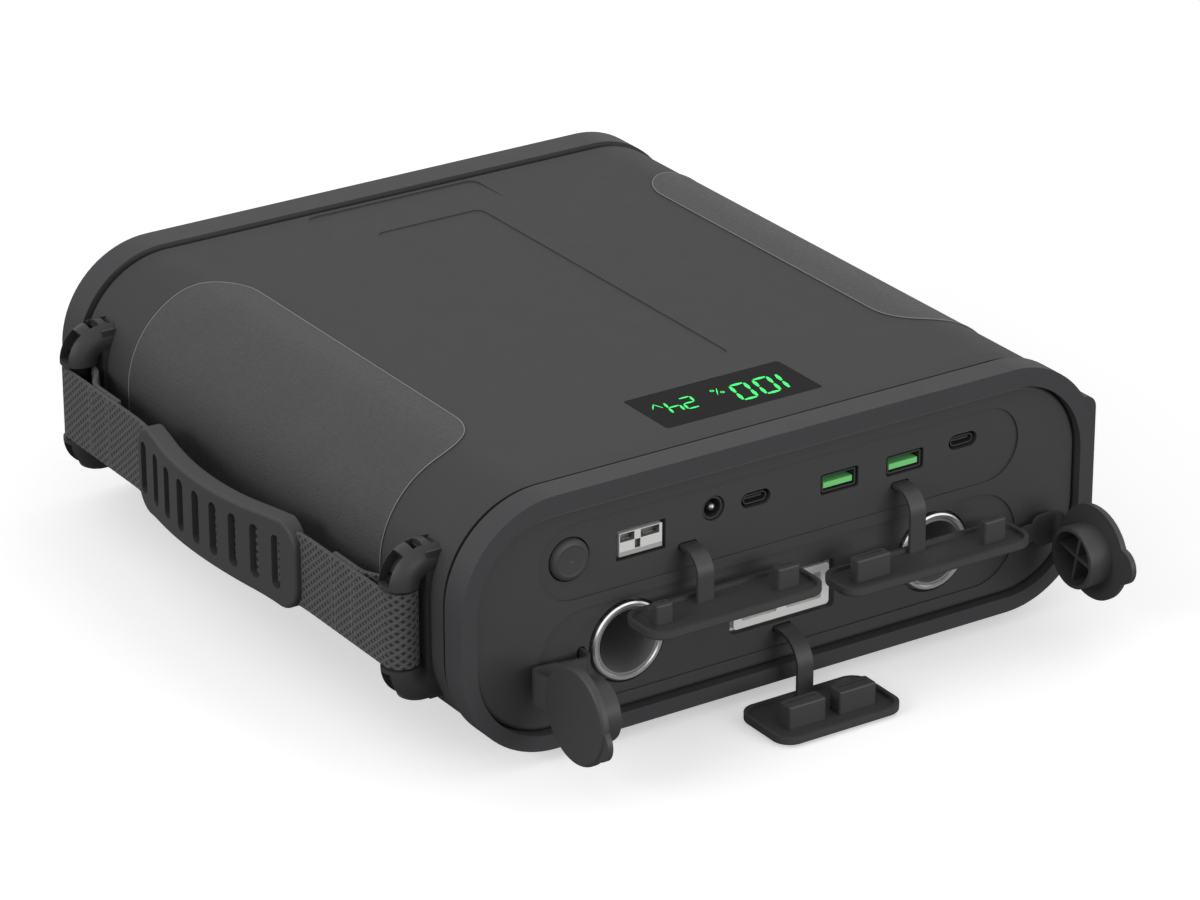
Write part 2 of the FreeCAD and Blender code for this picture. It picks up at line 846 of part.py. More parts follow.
# Main board on the two shelves, notched for the twin connector
notch_right = POLE_X + POLE_CUT_W / 2 + 2.0
notch_left = POLE_X - POLE_CUT_W / 2 - 2.0
board_y0 = PANEL_BACK + MAIN_BOARD_SETBACK
board_y1 = PANEL_BACK + MAIN_BOARD_DEPTH
keep(
    "main_board",
    slab(
        "xy",
        (-MAIN_BOARD_HALF, board_y0),
        [
            (notch_left, board_y0),
            (notch_left, board_y0 + MAIN_BOARD_NOTCH),
            (notch_right, board_y0 + MAIN_BOARD_NOTCH),
            (notch_right, board_y0),
            (MAIN_BOARD_HALF, board_y0),
            (MAIN_BOARD_HALF, board_y1),
            (-MAIN_BOARD_HALF, board_y1),
        ],
        board_low,
        board_top,
    ),
)

# Twin connector: two keyed housings side by side, each with a window and a contact
pole_front = PORT_Y - PORT_INSET + 0.6
housings = []
contacts = []
for side in (-1, 1):
    cx = POLE_X + side * POLE_PITCH / 2
    half = POLE_SIZE / 2
    body = rounded(
        "xz", cx - half, cx + half, pole_z - half, pole_z + half, 0.5, pole_front, pole_front + POLE_LENGTH
    )
    mouth = box(cx - 2.9, cx + 2.9, pole_front - 1, pole_front + 9.0, pole_z + 0.3, pole_z + 3.2)
    key = rod_y(POLE_X, pole_z - 1.6, 0.9, pole_front - 1, pole_front + POLE_LENGTH + 1)
    bore = box(cx - 2.0, cx + 2.0, pole_front + 8.0, pole_front + POLE_LENGTH + 1, pole_z - 0.9, pole_z + 2.4)
    housings.append(body.cut(mouth.multiFuse([key, bore])))
    contacts.append(
        box(cx - 1.9, cx + 1.9, pole_front + 2.0, pole_front + 20.0, pole_z + 0.35, pole_z + 1.2)
    )
keep("twin_connector_housings", housings)
keep("twin_connector_contacts", contacts)

# Round jack behind its hole
jack_y = PANEL_BACK + 0.2
jack = box(
    JACK_X - JACK_BODY_W / 2,
    JACK_X + JACK_BODY_W / 2,
    jack_y,
    jack_y + JACK_BODY_L,
    board_top + 0.05,
    board_top + 0.05 + JACK_BODY_H,
)
jack_nose = rod_y(JACK_X, PORT_Z, JACK_HOLE_R - 0.35, PORT_Y + 0.7, jack_y + 0.5)
jack_bore = rod_y(JACK_X, PORT_Z, JACK_BORE_R, PORT_Y, jack_y + 9.5)
keep("dc_jack", joined([jack, jack_nose]).cut(jack_bore))
jack_pin = rod_y(JACK_X, PORT_Z, JACK_PIN_R, PORT_Y + 1.6, jack_y + 9.45)
pin_tip = Part.makeSphere(JACK_PIN_R, V(JACK_X, PORT_Y + 1.6, PORT_Z))
keep("dc_jack_pin", joined([jack_pin, pin_tip]))

# USB ports: thin shells with a tongue on a carrier that stands on the board
usb_front = PORT_Y + PORT_INSET
a_shells = []
a_tongues = []
for x in USB_A_X:
    z = PORT_Z - USB_A_DROP
    hw, hh = USB_A_W / 2, USB_A_H / 2
    y1 = usb_front + USB_A_LENGTH
    shell = rounded("xz", x - hw, x + hw, z - hh, z + hh, 0.6, usb_front, y1)
    inner = rounded(
        "xz",
        x - hw + USB_A_WALL,
        x + hw - USB_A_WALL,
        z - hh + USB_A_WALL,
        z + hh - USB_A_WALL,
        0.3,
        usb_front - 1,
        y1 + 1,
    )
    a_shells.append(shell.cut(inner))
    tongue = box(x - 5.6, x + 5.6, usb_front + 0.5, y1 - 3.0, z - 1.75, z + 0.15)
    plug_back = box(
        x - hw + USB_A_WALL + 0.05,
        x + hw - USB_A_WALL - 0.05,
        y1 - 3.2,
        y1 + 0.2,
        z - hh + USB_A_WALL + 0.05,
        z + hh - USB_A_WALL - 0.05,
    )
    a_tongues.append(joined([tongue, plug_back]))
keep("usb_a_shells", a_shells)
keep("usb_a_tongues", a_tongues)
c_shells = []
c_tongues = []
for x in USB_C_X:
    z = PORT_Z - USB_C_DROP
    hw, hh = USB_C_W / 2, USB_C_H / 2
    y1 = usb_front + 0.2 + USB_C_LENGTH
    shell = rounded("xz", x - hw, x + hw, z - hh, z + hh, hh, usb_front + 0.2, y1)
    t = USB_C_WALL
    inner = rounded("xz", x - hw + t, x + hw - t, z - hh + t, z + hh - t, hh - t, usb_front - 1, y1 + 1)
    c_shells.append(shell.cut(inner))
    tongue = box(x - 3.3, x + 3.3, usb_front + 1.2, y1 + 0.5, z - 0.35, z + 0.35)
    carrier = box(x - 4.4, x + 4.4, y1 + 0.2, y1 + 3.0, board_top + 0.05, z + hh)
    c_tongues.append(joined([tongue, carrier]))
keep("usb_c_shells", c_shells)
keep("usb_c_tongues", c_tongues)

# Vehicle-plug sockets: chrome ring, barrel with collar, base and centre contact
socket_z = PORT_Z - SOCKET_DROP
mouth_y = PORT_Y - SOCKET_MOUTH
barrel_end = mouth_y + SOCKET_DEPTH
ring_y = PORT_Y - SOCKET_RING_OUTSTAND
bases = []
pins = []
for name, side in (("left", -1), ("right", 1)):
    x = side * SOCKET_X
    ring = turned_y(
        x,
        socket_z,
        [
            (SOCKET_RING_IN, ring_y + 0.4),
            (SOCKET_RING_IN + 0.4, ring_y),
            (SOCKET_RING_OUT - 0.5, ring_y),
            (SOCKET_RING_OUT, ring_y + 0.5),
            (SOCKET_RING_OUT, ring_y + SOCKET_RING_DEPTH),
            (SOCKET_RING_IN, ring_y + SOCKET_RING_DEPTH),
        ],
    )
    keep(name + "_socket_ring", ring)
    tube_r = SOCKET_BORE_R + SOCKET_WALL
    barrel = turned_y(
        x,
        socket_z,
        [
            (SOCKET_BORE_R, mouth_y),
            (tube_r, mouth_y),
            (tube_r, PANEL_BACK + 0.1),
            (SOCKET_COLLAR_R, PANEL_BACK + 0.1),
            (SOCKET_COLLAR_R, PANEL_BACK + 2.6),
            (tube_r, PANEL_BACK + 2.6),
            (tube_r, barrel_end),
            (SOCKET_BORE_R, barrel_end),
        ],
    )
    keep(name + "_socket_barrel", barrel)
    base = rod_y(x, socket_z, tube_r, barrel_end + 0.05, barrel_end + 0.05 + SOCKET_BASE)
    bases.append(base.cut(rod_y(x, socket_z, SOCKET_PIN_R + 0.05, barrel_end - 1, barrel_end + 9)))
    pins.append(
        turned_y(
            x,
            socket_z,
            [
                (0.0, barrel_end - 4.0),
                (1.6, barrel_end - 3.4),
                (SOCKET_PIN_R, barrel_end - 2.0),
                (SOCKET_PIN_R, barrel_end + SOCKET_BASE + 2.0),
                (0.0, barrel_end + SOCKET_BASE + 2.0),
            ],
        )
    )
keep("socket_bases", bases)
keep("socket_contacts", pins)

# High-current connector: one moulding with two flat blades in open cavities
blade_z = PORT_Z - BLADE_PORT_DROP
blade_front = PORT_Y + 0.4
blade_back = blade_front + BLADE_PORT_LENGTH
hw, hh = BLADE_PORT_W / 2, BLADE_PORT_H / 2
blade_body = rounded("xz", -hw, hw, blade_z - hh, blade_z + hh, 1.2, blade_front, blade_back)
cavities = []
blades = []
for side in (-1, 1):
    cx = side * BLADE_CAVITY_X
    cw, ch = BLADE_CAVITY_W / 2, BLADE_CAVITY_H / 2
    cavities.append(
        rounded(
            "xz",
            cx - cw,
            cx + cw,
            blade_z - ch,
            blade_z + ch,
            0.8,
            blade_front - 1,
            blade_front + BLADE_CAVITY_DEPTH,
        )
    )
    slot_z = blade_z - ch + 0.5
    cavities.append(
        box(
            cx - BLADE_W / 2 - 0.1,
            cx + BLADE_W / 2 + 0.1,
            blade_front,
            blade_back + 1,
            slot_z - 0.1,
            slot_z + BLADE_T + 0.1,
        )
    )
    blades.append(
        box(
            cx - BLADE_W / 2,
            cx + BLADE_W / 2,
            blade_front + 2.5,
            blade_back + 4.0,
            slot_z,
            slot_z + BLADE_T,
        )
    )
flange = box(-hw - 3.0, hw + 3.0, PANEL_BACK + 0.1, PANEL_BACK + 2.6, blade_z - hh - 1.5, blade_z + hh + 1.5)
blade_body = cut_all(joined([blade_body, flange]), cavities)
keep("high_current_housing", blade_body)
keep("high_current_contacts", blades)

# Battery: standing cells between two trays, with strips on their ends
inside_low = SLEEVE_LOW + SLEEVE_WALL
tray_low = inside_low + TRAY_FOOT_GAP
cell_low = tray_low + TRAY_FLOOR + BUSBAR_T + 0.1
cell_top = cell_low + CELL_HEIGHT
cells = []
strips = []
for i in range(CELLS_ACROSS):
    cx = (i - (CELLS_ACROSS - 1) / 2) * CELL_PITCH
    for j in range(CELLS_DEEP):
        cy = CELL_BLOCK_Y + (j - (CELLS_DEEP - 1) / 2) * CELL_PITCH
        cells.append(rod_z(cx, cy, CELL_R, cell_low, cell_top))
    reach = CELLS_DEEP * CELL_PITCH / 2 - 6.0
    y0, y1 = CELL_BLOCK_Y - reach, CELL_BLOCK_Y + reach
    strips.append(box(cx - 5, cx + 5, y0, y1, cell_low - BUSBAR_T, cell_low))
    strips.append(box(cx - 5, cx + 5, y0, y1, cell_top, cell_top + BUSBAR_T))
keep("battery_cells", cells)
keep("cell_busbars", strips)
tray_half = CELLS_ACROSS * CELL_PITCH / 2 + TRAY_WALL
tray_y0 = CELL_BLOCK_Y - CELLS_DEEP * CELL_PITCH / 2 - TRAY_WALL
tray_y1 = CELL_BLOCK_Y + CELLS_DEEP * CELL_PITCH / 2 + TRAY_WALL
tray_r = CELL_R + TRAY_WALL


def cell_tray(z0):
    outer = rounded("xy", -tray_half, tray_half, tray_y0, tray_y1, tray_r, z0, z0 + TRAY_RIM)
    low_edges = [e for e in outer.Edges if e.BoundBox.ZMax < z0 + 1e-4]
    outer = outer.makeFillet(TRAY_FLOOR, low_edges)
    hollow = rounded(
        "xy",
        -tray_half + TRAY_WALL,
        tray_half - TRAY_WALL,
        tray_y0 + TRAY_WALL,
        tray_y1 - TRAY_WALL,
        CELL_R,
        z0 + TRAY_FLOOR,
        z0 + TRAY_RIM + 1,
    )
    return outer.cut(hollow)


lower_tray = cell_tray(tray_low)
tray_top = cell_top + BUSBAR_T + 0.1 + TRAY_FLOOR
middle = (tray_low + tray_top) / 2
keep("lower_cell_tray", lower_tray)
keep("upper_cell_tray", lower_tray.mirror(V(0, 0, middle), V(0, 0, 1)))
foam_half = 70.0
foam = []
for y0, y1 in ((tray_y0 + 8.0, tray_y0 + 38.0), (tray_y1 - 38.0, tray_y1 - 8.0)):
    foam.append(box(-foam_half, foam_half, y0, y1, inside_low + 0.05, tray_low - 0.05))
    foam.append(box(-foam_half, foam_half, y0, y1, tray_top + 0.05, inside_top - 0.05))
keep("battery_foam", foam)

# Management board on the front of the battery, and the stiff leads to the sockets
bms_back = tray_y0 - 0.05
bms_front = bms_back - BOARD_THICKNESS
bms_low = MID_Z - BMS_HEIGHT / 2
keep("management_board", box(-BMS_WIDTH / 2, BMS_WIDTH / 2, bms_front, bms_back, bms_low, bms_low + BMS_HEIGHT))
LEAD_R = 2.6
leads = []
for side in (-1, 1):
    cx = side * BLADE_CAVITY_X
    slot_z = blade_z - BLADE_CAVITY_H / 2 + 0.5 + BLADE_T / 2
    leads.append(rod_y(cx, slot_z, LEAD_R, blade_back + 4.0, bms_front))
keep("high_current_leads", leads)
socket_leads = []
for side in (-1, 1):
    socket_leads.append(rod_y(side * SOCKET_X, socket_z, 1.6, barrel_end + SOCKET_BASE + 2.0, bms_front))
keep("socket_leads", socket_leads)

# Strap brackets: two round elbows cored out from outside, on a thin base on the sleeve
strap_z = BODY_TOP - STRAP_DROP
strap_top = strap_z + STRAP_WIDTH / 2
arm_low = strap_top + ARM_END_GAP + ARM_RAISE
elbow_z = arm_low + ARM_STUB
elbow_x = BAR_X + ARM_BEND
leg_z = elbow_z + ARM_BEND


def elbow_sector(r0, r1, a0, a1, y0, y1):
    # sector about the elbow's centre, angles measured from -X towards +Z
    def at(r, a):
        return (elbow_x - r * math.cos(math.radians(a)), elbow_z + r * math.sin(math.radians(a)))

    mid = (a0 + a1) / 2
    return slab(
        "xz",
        at(r0, a0),
        [at(r1, a0), (at(r1, mid), at(r1, a1)), at(r0, a1), (at(r0, mid), at(r0, a0))],
        y0,
        y1,
    )


def bar(y, grow):
    reach = STRAP_WIDTH / 2 + ARM_END_GAP + 4.0
    return rod_z(BAR_X, y, BAR_R + grow, strap_z - reach - grow, strap_z + reach + grow)


def bracket(y):
    stub = rod_z(BAR_X, y, ARM_R, arm_low, elbow_z)
    ring = Part.Wire(Part.makeCircle(ARM_R, V(BAR_X, y, elbow_z), V(0, 0, 1)))
    elbow = Part.Face(ring).revolve(V(elbow_x, y, elbow_z), V(0, 1, 0), 90)
    leg = Part.makeCylinder(ARM_R, 14.0, V(elbow_x, y, leg_z), V(1, 0, 0))
    arm = joined([stub, elbow, leg])
    y0, y1 = y - ARM_POCKET / 2, y + ARM_POCKET / 2
    outer = ARM_BEND + ARM_R + 1.0
    inner = ARM_BEND + ARM_R - ARM_POCKET_DEPTH
    edges = [0.0]
    for a0, a1 in ARM_RIBS:
        edges += [a0, a1]
    edges.append(90.0)
    pockets = [elbow_sector(inner, outer, ARM_POCKET_START, edges[1], y0, y1)]
    for i in range(2, len(edges), 2):
        pockets.append(elbow_sector(inner, outer, edges[i], edges[i + 1], y0, y1))
    pockets.append(box(elbow_x + 2.6, elbow_x + 14.0, y0, y1, elbow_z + inner, elbow_z + outer))
    arm = cut_all(arm, pockets)
    lower = arm.mirror(V(0, 0, strap_z + ARM_RAISE), V(0, 0, 1))
    reach = leg_z + ARM_R - 2.0 - strap_z - ARM_RAISE
    base = rounded(
        "xz",
        -SLEEVE_HALF - ARM_BASE,
        -SLEEVE_HALF + 6.0,
        strap_z + ARM_RAISE - reach,
        strap_z + ARM_RAISE + reach,
        0.5,
        y - ARM_BASE_WIDTH / 2,
        y + ARM_BASE_WIDTH / 2,
    )
    whole = joined([arm, lower, base])
    whole = whole.cut(case_section(PROUD - 0.05, y - ARM_R - 1, y + ARM_R + 1))
    return whole.cut(bar(y, 0.03))


bar_front = BAR_CENTRE_Y - BAR_SPAN / 2
bar_rear = BAR_CENTRE_Y + BAR_SPAN / 2
keep("front_strap_bracket", bracket(bar_front))
keep("rear_strap_bracket", bracket(bar_rear))
keep("strap_bars", [bar(bar_front, 0.0), bar(bar_rear, 0.0)])

# Webbing: a bowed run between the bars, folded round each and stitched back on itself
turn_r = BAR_R + 0.1 + STRAP_THICKNESS / 2
run_x = BAR_X - turn_r
bow_half = BAR_SPAN / 2 - STRAP_STRAIGHT
bow_r = (bow_half**2 + STRAP_BOW**2) / (4 * STRAP_BOW)


def run_curve(offset):
    # points of the bowed run, offset outwards, from the front bar to the rear one
    x = run_x - offset
    far = x - STRAP_BOW
    r_in = bow_r - offset
    r_out = bow_r + offset
    half_angle = math.asin(bow_half / 2 / bow_r)
    q = half_angle / 2
    y_a = BAR_CENTRE_Y - bow_half
    y_c = BAR_CENTRE_Y + bow_half
    join_dx = STRAP_BOW / 2
    a = (x, y_a)
    a_mid = (x - r_in * (1 - math.cos(q)), y_a + r_in * math.sin(q))
    a_end = (x - r_in * (1 - math.cos(2 * q)), y_a + r_in * math.sin(2 * q))
    b_mid = (far + r_out * (1 - math.cos(q)), BAR_CENTRE_Y - r_out * math.sin(q))
    b = (far, BAR_CENTRE_Y)
    return x, a, a_mid, a_end, b_mid, b, join_dx


def flip(p):
    return (p[0], 2 * BAR_CENTRE_Y - p[1])


def run_band(out, inn, y_end):
    # closed slab between two offsets of the run, between y_end and its mirror
    x1, a1, am1, ae1, bm1, b1, _ = run_curve(out)
    x2, a2, am2, ae2, bm2, b2, _ = run_curve(inn)
    start = (x1, BAR_CENTRE_Y - y_end)
    steps = [
        a1,
        (am1, ae1),
        (bm1, b1),
        (flip(bm1), flip(ae1)),
        (flip(am1), flip(a1)),
        (x1, BAR_CENTRE_Y + y_end),
        (x2, BAR_CENTRE_Y + y_end),
        flip(a2),
        (flip(am2), flip(ae2)),
        (flip(bm2), b2),
        (bm2, ae2),
        (am2, a2),
        (x2, BAR_CENTRE_Y - y_end),
    ]
    return start, steps


half_t = STRAP_THICKNESS / 2
z0, z1 = strap_z - STRAP_WIDTH / 2, strap_z + STRAP_WIDTH / 2
start, steps = run_band(half_t, -half_t, BAR_SPAN / 2)
webbing = [slab("xy", start, steps, z0, z1)]
for side, y in ((-1, bar_front), (1, bar_rear)):
    ring = rod_z(BAR_X, y, turn_r + half_t, z0, z1).cut(rod_z(BAR_X, y, turn_r - half_t, z0 - 1, z1 + 1))
    keep_half = box(BAR_X - 20, BAR_X + 20, min(y, y + side * 20), max(y, y + side * 20), z0 - 1, z1 + 1)
    webbing.append(ring.common(keep_half))
    inner = BAR_X + turn_r
    near = run_x + STRAP_THICKNESS
    s = -side
    tail = slab(
        "xy",
        (inner - half_t, y),
        [
            (inner + half_t, y),
            (inner + half_t, y + s * 2.0),
            (near + half_t, y + s * 19.0),
            (near + half_t, y + s * STRAP_TAIL),
            (near - half_t, y + s * STRAP_TAIL),
            (near - half_t, y + s * 18.6),
            (inner - half_t, y + s * 1.6),
        ],
        z0,
        z1,
    )
    webbing.append(tail)
webbing = joined(webbing)
keep("carry_strap", webbing)

# Grip: rubber sleeve on the webbing with a slot pattern through its outer wall
grip_out = half_t + 0.1 + GRIP_WALL
grip_half = GRIP_LENGTH / 2
start, steps = run_band(grip_out, -grip_out, BAR_SPAN / 2 - 5)
thick = slab("xy", start, steps, strap_z - GRIP_HEIGHT, strap_z + GRIP_HEIGHT)
gy0, gy1 = GRIP_CENTRE_Y - grip_half, GRIP_CENTRE_Y + grip_half
gh = GRIP_HEIGHT / 2
waist = gh - GRIP_WAIST
corner = GRIP_CORNER_R
side_view = slab(
    "yz",
    (gy0, strap_z - gh + corner),
    [
        ((gy0 + corner * 0.293, strap_z - gh + corner * 0.293), (gy0 + corner, strap_z - gh)),
        ((GRIP_CENTRE_Y, strap_z - waist), (gy1 - corner, strap_z - gh)),
        ((gy1 - corner * 0.293, strap_z - gh + corner * 0.293), (gy1, strap_z - gh + corner)),
        (gy1, strap_z + gh - corner),
        ((gy1 - corner * 0.293, strap_z + gh - corner * 0.293), (gy1 - corner, strap_z + gh)),
        ((GRIP_CENTRE_Y, strap_z + waist), (gy0 + corner, strap_z + gh)),
        ((gy0 + corner * 0.293, strap_z + gh - corner * 0.293), (gy0, strap_z + gh - corner)),
    ],
    run_x - STRAP_BOW - 20,
    BAR_X + 10,
)
grip = thick.common(side_view)


def rim_of(solid, facing):
    # edges round the faces that look towards -X (facing -1) or +X (facing 1)
    seen = []
    for face in solid.Faces:
        u0, u1, v0, v1 = face.ParameterRange
        if face.normalAt((u0 + u1) / 2, (v0 + v1) / 2).x * facing > 0.85:
            seen += face.Edges
    return [e for e in seen if sum(e.isSame(k) for k in seen) == 1]


grip = grip.makeFillet(GRIP_ROUND, rim_of(grip, -1))
grip = grip.makeFillet(GRIP_ROUND / 2, rim_of(grip, 1))
start, steps = run_band(half_t + 0.1, -half_t - 0.1, BAR_SPAN / 2 - 4)
grip = grip.cut(slab("xy", start, steps, z0 - 0.1, z1 + 0.1))
slots = []
for i in range(GRIP_SLOTS):
    y = GRIP_SLOT_CENTRE_Y + (i - (GRIP_SLOTS - 1) / 2) * GRIP_SLOT_PITCH
    slots.append(
        rounded(
            "yz",
            y - GRIP_SLOT_W / 2,
            y + GRIP_SLOT_W / 2,
            strap_z - GRIP_SLOT_H / 2,
            strap_z + GRIP_SLOT_H / 2,
            GRIP_SLOT_W / 2,
            run_x - STRAP_BOW - 12,
            run_x,
        )
    )
outer_half = slab("xy", *run_band(grip_out + 2, 0.0, BAR_SPAN / 2 - 3), z0 - 10, z1 + 10)
grip = cut_all(grip, [s.common(outer_half) for s in slots])
for side, y in ((-1, gy0), (1, gy1)):
    wedge = slab(
        "xy",
        (run_x + half_t + 0.35, y + side),
        [
            (run_x + half_t + 0.35, y),
            (run_x + half_t + 1.6, y - side * GRIP_TAPER),
            (BAR_X + 10, y - side * GRIP_TAPER),
            (BAR_X + 10, y + side),
        ],
        z0 - 10,
        z1 + 10,
    )
    grip = grip.cut(wedge)
keep("strap_grip", grip)


# Hinged flaps: a rimmed tray with plugs, hung on a curved strap through its slot
def flap(span, depth, root, hang, plugs, plug_y, reach):
    root_z = PORT_Z - root[1]
    floor = root_z - hang
    y0, y1 = PORT_Y - depth[1], PORT_Y - depth[0]
    tray = rounded("xy", span[0], span[1], y0, y1, FLAP_CORNER_R, floor - TRAY_FLOOR_T, floor + TRAY_RIM_H)
    bottom_edges = [e for e in tray.Edges if e.BoundBox.ZMax < floor - TRAY_FLOOR_T + 1e-4]
    tray = tray.makeFillet(0.8, bottom_edges)
    hollow = rounded(
        "xy",
        span[0] + TRAY_RIM_T,
        span[1] - TRAY_RIM_T,
        y0 + TRAY_RIM_T,
        y1 - TRAY_RIM_T,
        FLAP_CORNER_R - TRAY_RIM_T,
        floor,
        floor + TRAY_RIM_H + 1,
    )
    tray = tray.cut(hollow)
    solids = [tray]
    for x, w, d, h in plugs:
        py = PORT_Y - plug_y
        block = rounded("xy", x - w / 2, x + w / 2, py - d / 2, py + d / 2, 0.9, floor - 0.5, floor + h)
        top_edges = [e for e in block.Edges if e.BoundBox.ZMin > floor + h - 1e-4]
        block = block.makeFillet(0.6, top_edges)
        slit = box(x - w / 2 + 1.4, x + w / 2 - 1.4, py + 0.4, py + 0.9, floor + h - 1.2, floor + h + 1)
        solids.append(block.cut(slit))
    x0 = root[0] - COVER_STRAP_W / 2
    x1 = root[0] + COVER_STRAP_W / 2
    out_y = PORT_Y - reach[0]
    path = [(COVER_HINGE_Y, root_z, 0), (out_y, root_z, reach[1]), (out_y, floor - 0.5, 0)]
    strap = strip("yz", path, COVER_STRAP_T, x0, x1, True)
    solids.append(strap)
    return joined(solids)


keep(
    "dc_ports_flap",
    flap(DC_FLAP, DC_FLAP_Y, DC_FLAP_ROOT, DC_FLAP_HANG, DC_PLUGS, DC_PLUG_Y, DC_FLAP_REACH),
)
keep(
    "usb_ports_flap",
    flap(USB_FLAP, USB_FLAP_Y, USB_FLAP_ROOT, USB_FLAP_HANG, USB_PLUGS, USB_PLUG_Y, USB_FLAP_REACH),
)
keep(
    "high_current_flap",
    flap(
        BLADE_FLAP,
        BLADE_FLAP_Y,
        BLADE_FLAP_ROOT,
        BLADE_FLAP_HANG,
        BLADE_PLUGS,
        BLADE_PLUG_Y,
        BLADE_FLAP_REACH,
    ),
)


# Round caps: disc with a thumb tab, hollow ribbed plug, lobe and band to the slot
def socket_cap(side, cap_x, cap_out, cap_drop, tab_at):
    # modelled for the left side and mirrored for the right one
    x = -abs(cap_x)
    cy = PORT_Y - cap_out
    cz = PORT_Z - cap_drop
    back = x + CAP_T
    out = V(1, 0, 0)
    face = Part.makeCylinder(CAP_FACE_R, CAP_T, V(x, cy, cz), out)
    rim = [e for e in face.Edges if e.BoundBox.XMax < x + 1e-4]
    face = face.makeFillet(1.3, rim)
    brim = Part.makeCylinder(CAP_R, CAP_BRIM_T, V(back - CAP_BRIM_T, cy, cz), out)
    angle = math.radians(tab_at[1])
    tab_y = cy + tab_at[0] * math.cos(angle)
    tab_z = cz + tab_at[0] * math.sin(angle)
    tab = Part.makeCylinder(CAP_TAB_R, CAP_T - 0.7, V(x + 0.7, tab_y, tab_z), out)
    plug = Part.makeCylinder(CAP_PLUG_R, CAP_PLUG_L, V(back, cy, cz), out)
    tip = [e for e in plug.Edges if e.BoundBox.XMin > back + CAP_PLUG_L - 1e-4]
    plug = plug.makeFillet(0.7, tip)
    hollow_r = CAP_PLUG_R - CAP_PLUG_WALL
    plug = plug.cut(Part.makeCylinder(hollow_r, CAP_PLUG_L, V(back, cy, cz), out))
    half = CAP_PLUG_R - CAP_PLUG_WALL / 2
    ribs = []
    for turn in (12.0, 102.0):
        deep = back + CAP_PLUG_L - 2.2
        rib = box(back - 0.4, deep, cy - half, cy + half, cz - CAP_RIB / 2, cz + CAP_RIB / 2)
        rib.rotate(V(x, cy, cz), V(1, 0, 0), turn)
        ribs.append(rib)
    t = COVER_STRAP_T
    root_x = -CAP_ROOT_X
    band_z = PORT_Z - CAP_ROOT_DROP
    lane = x + 0.5 + t / 2
    bulge = lane - CAP_BULGE
    wide = lane + 10.0
    out_y = PORT_Y - CAP_BAND_OUT
    bend_y = PORT_Y - CAP_BEND_OUT
    end_y = cy + CAP_FACE_R - 3.0
    slope = (out_y - bend_y) / (root_x - bulge)
    tail = [(bulge, bend_y, CAP_BEND_R), (lane, end_y + 2.0, 1.5), (lane, end_y, 0)]
    path = [(root_x, COVER_HINGE_Y, 0), (root_x, out_y, CAP_BEND_R)] + tail
    narrow = strip("xy", path, t, band_z - CAP_BAND_H / 2, band_z + CAP_BAND_H / 2, True)
    lobe_z0 = cz + CAP_LOBE_RAISE - CAP_LOBE_H / 2
    lobe_z1 = lobe_z0 + CAP_LOBE_H
    path = [(wide, bend_y + slope * (wide - bulge), 0)] + tail
    lobe = strip("xy", path, t, lobe_z0, lobe_z1, False)
    trim = rounded("xz", x - 8, wide, lobe_z0, lobe_z1, CAP_BAND_H / 2, cy, PORT_Y)
    lobe = lobe.common(trim)
    cap = joined([face, brim, tab, plug, lobe, narrow] + ribs)
    return mirror_x(cap) if side > 0 else cap


# Roots of the covers: a stub of strap through the slot and a plate behind it
def cover_anchor(x, z, across, up):
    stub_end = COVER_HINGE_Y + COVER_STRAP_T / 2 + COVER_HINGE_GAP
    stub = box(x - across / 2, x + across / 2, stub_end, PANEL_BACK + 0.6, z - up / 2, z + up / 2)
    px, pz = across / 2 + (2.0 if across > up else 1.0), up / 2 + (1.0 if across > up else 2.0)
    plate = rounded("xz", x - px, x + px, z - pz, z + pz, 0.8, PANEL_BACK + 0.3, PANEL_BACK + 1.5)
    return joined([stub, plate])


anchors = []
for root in (DC_FLAP_ROOT, USB_FLAP_ROOT, BLADE_FLAP_ROOT):
    anchors.append(cover_anchor(root[0], PORT_Z - root[1], COVER_STRAP_W, COVER_STRAP_T))
for side in (-1, 1):
    anchors.append(
        cover_anchor(side * CAP_ROOT_X, PORT_Z - CAP_ROOT_DROP, COVER_STRAP_T, CAP_BAND_H)
    )
keep("cover_anchors", anchors)
keep(
    "left_socket_cap",
    socket_cap(-1, LEFT_CAP_X, LEFT_CAP_OUT, LEFT_CAP_DROP, LEFT_CAP_TAB),
)
keep(
    "right_socket_cap",
    socket_cap(1, RIGHT_CAP_X, RIGHT_CAP_OUT, RIGHT_CAP_DROP, RIGHT_CAP_TAB),
)

for name, solids in nodes.items():
    shape = solids[0] if len(solids) == 1 else Part.makeCompound(solids)
    shape.exportStep("parts/" + name + ".step")
    valid = all(s.isValid() for s in solids)
    print(name, len(solids), "solids", round(sum(s.Volume for s in solids), 1), "ok" if valid else "BAD")
print(len(nodes), "nodes")
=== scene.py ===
import json
import math

import bmesh
import bpy
from mathutils import Matrix, Vector


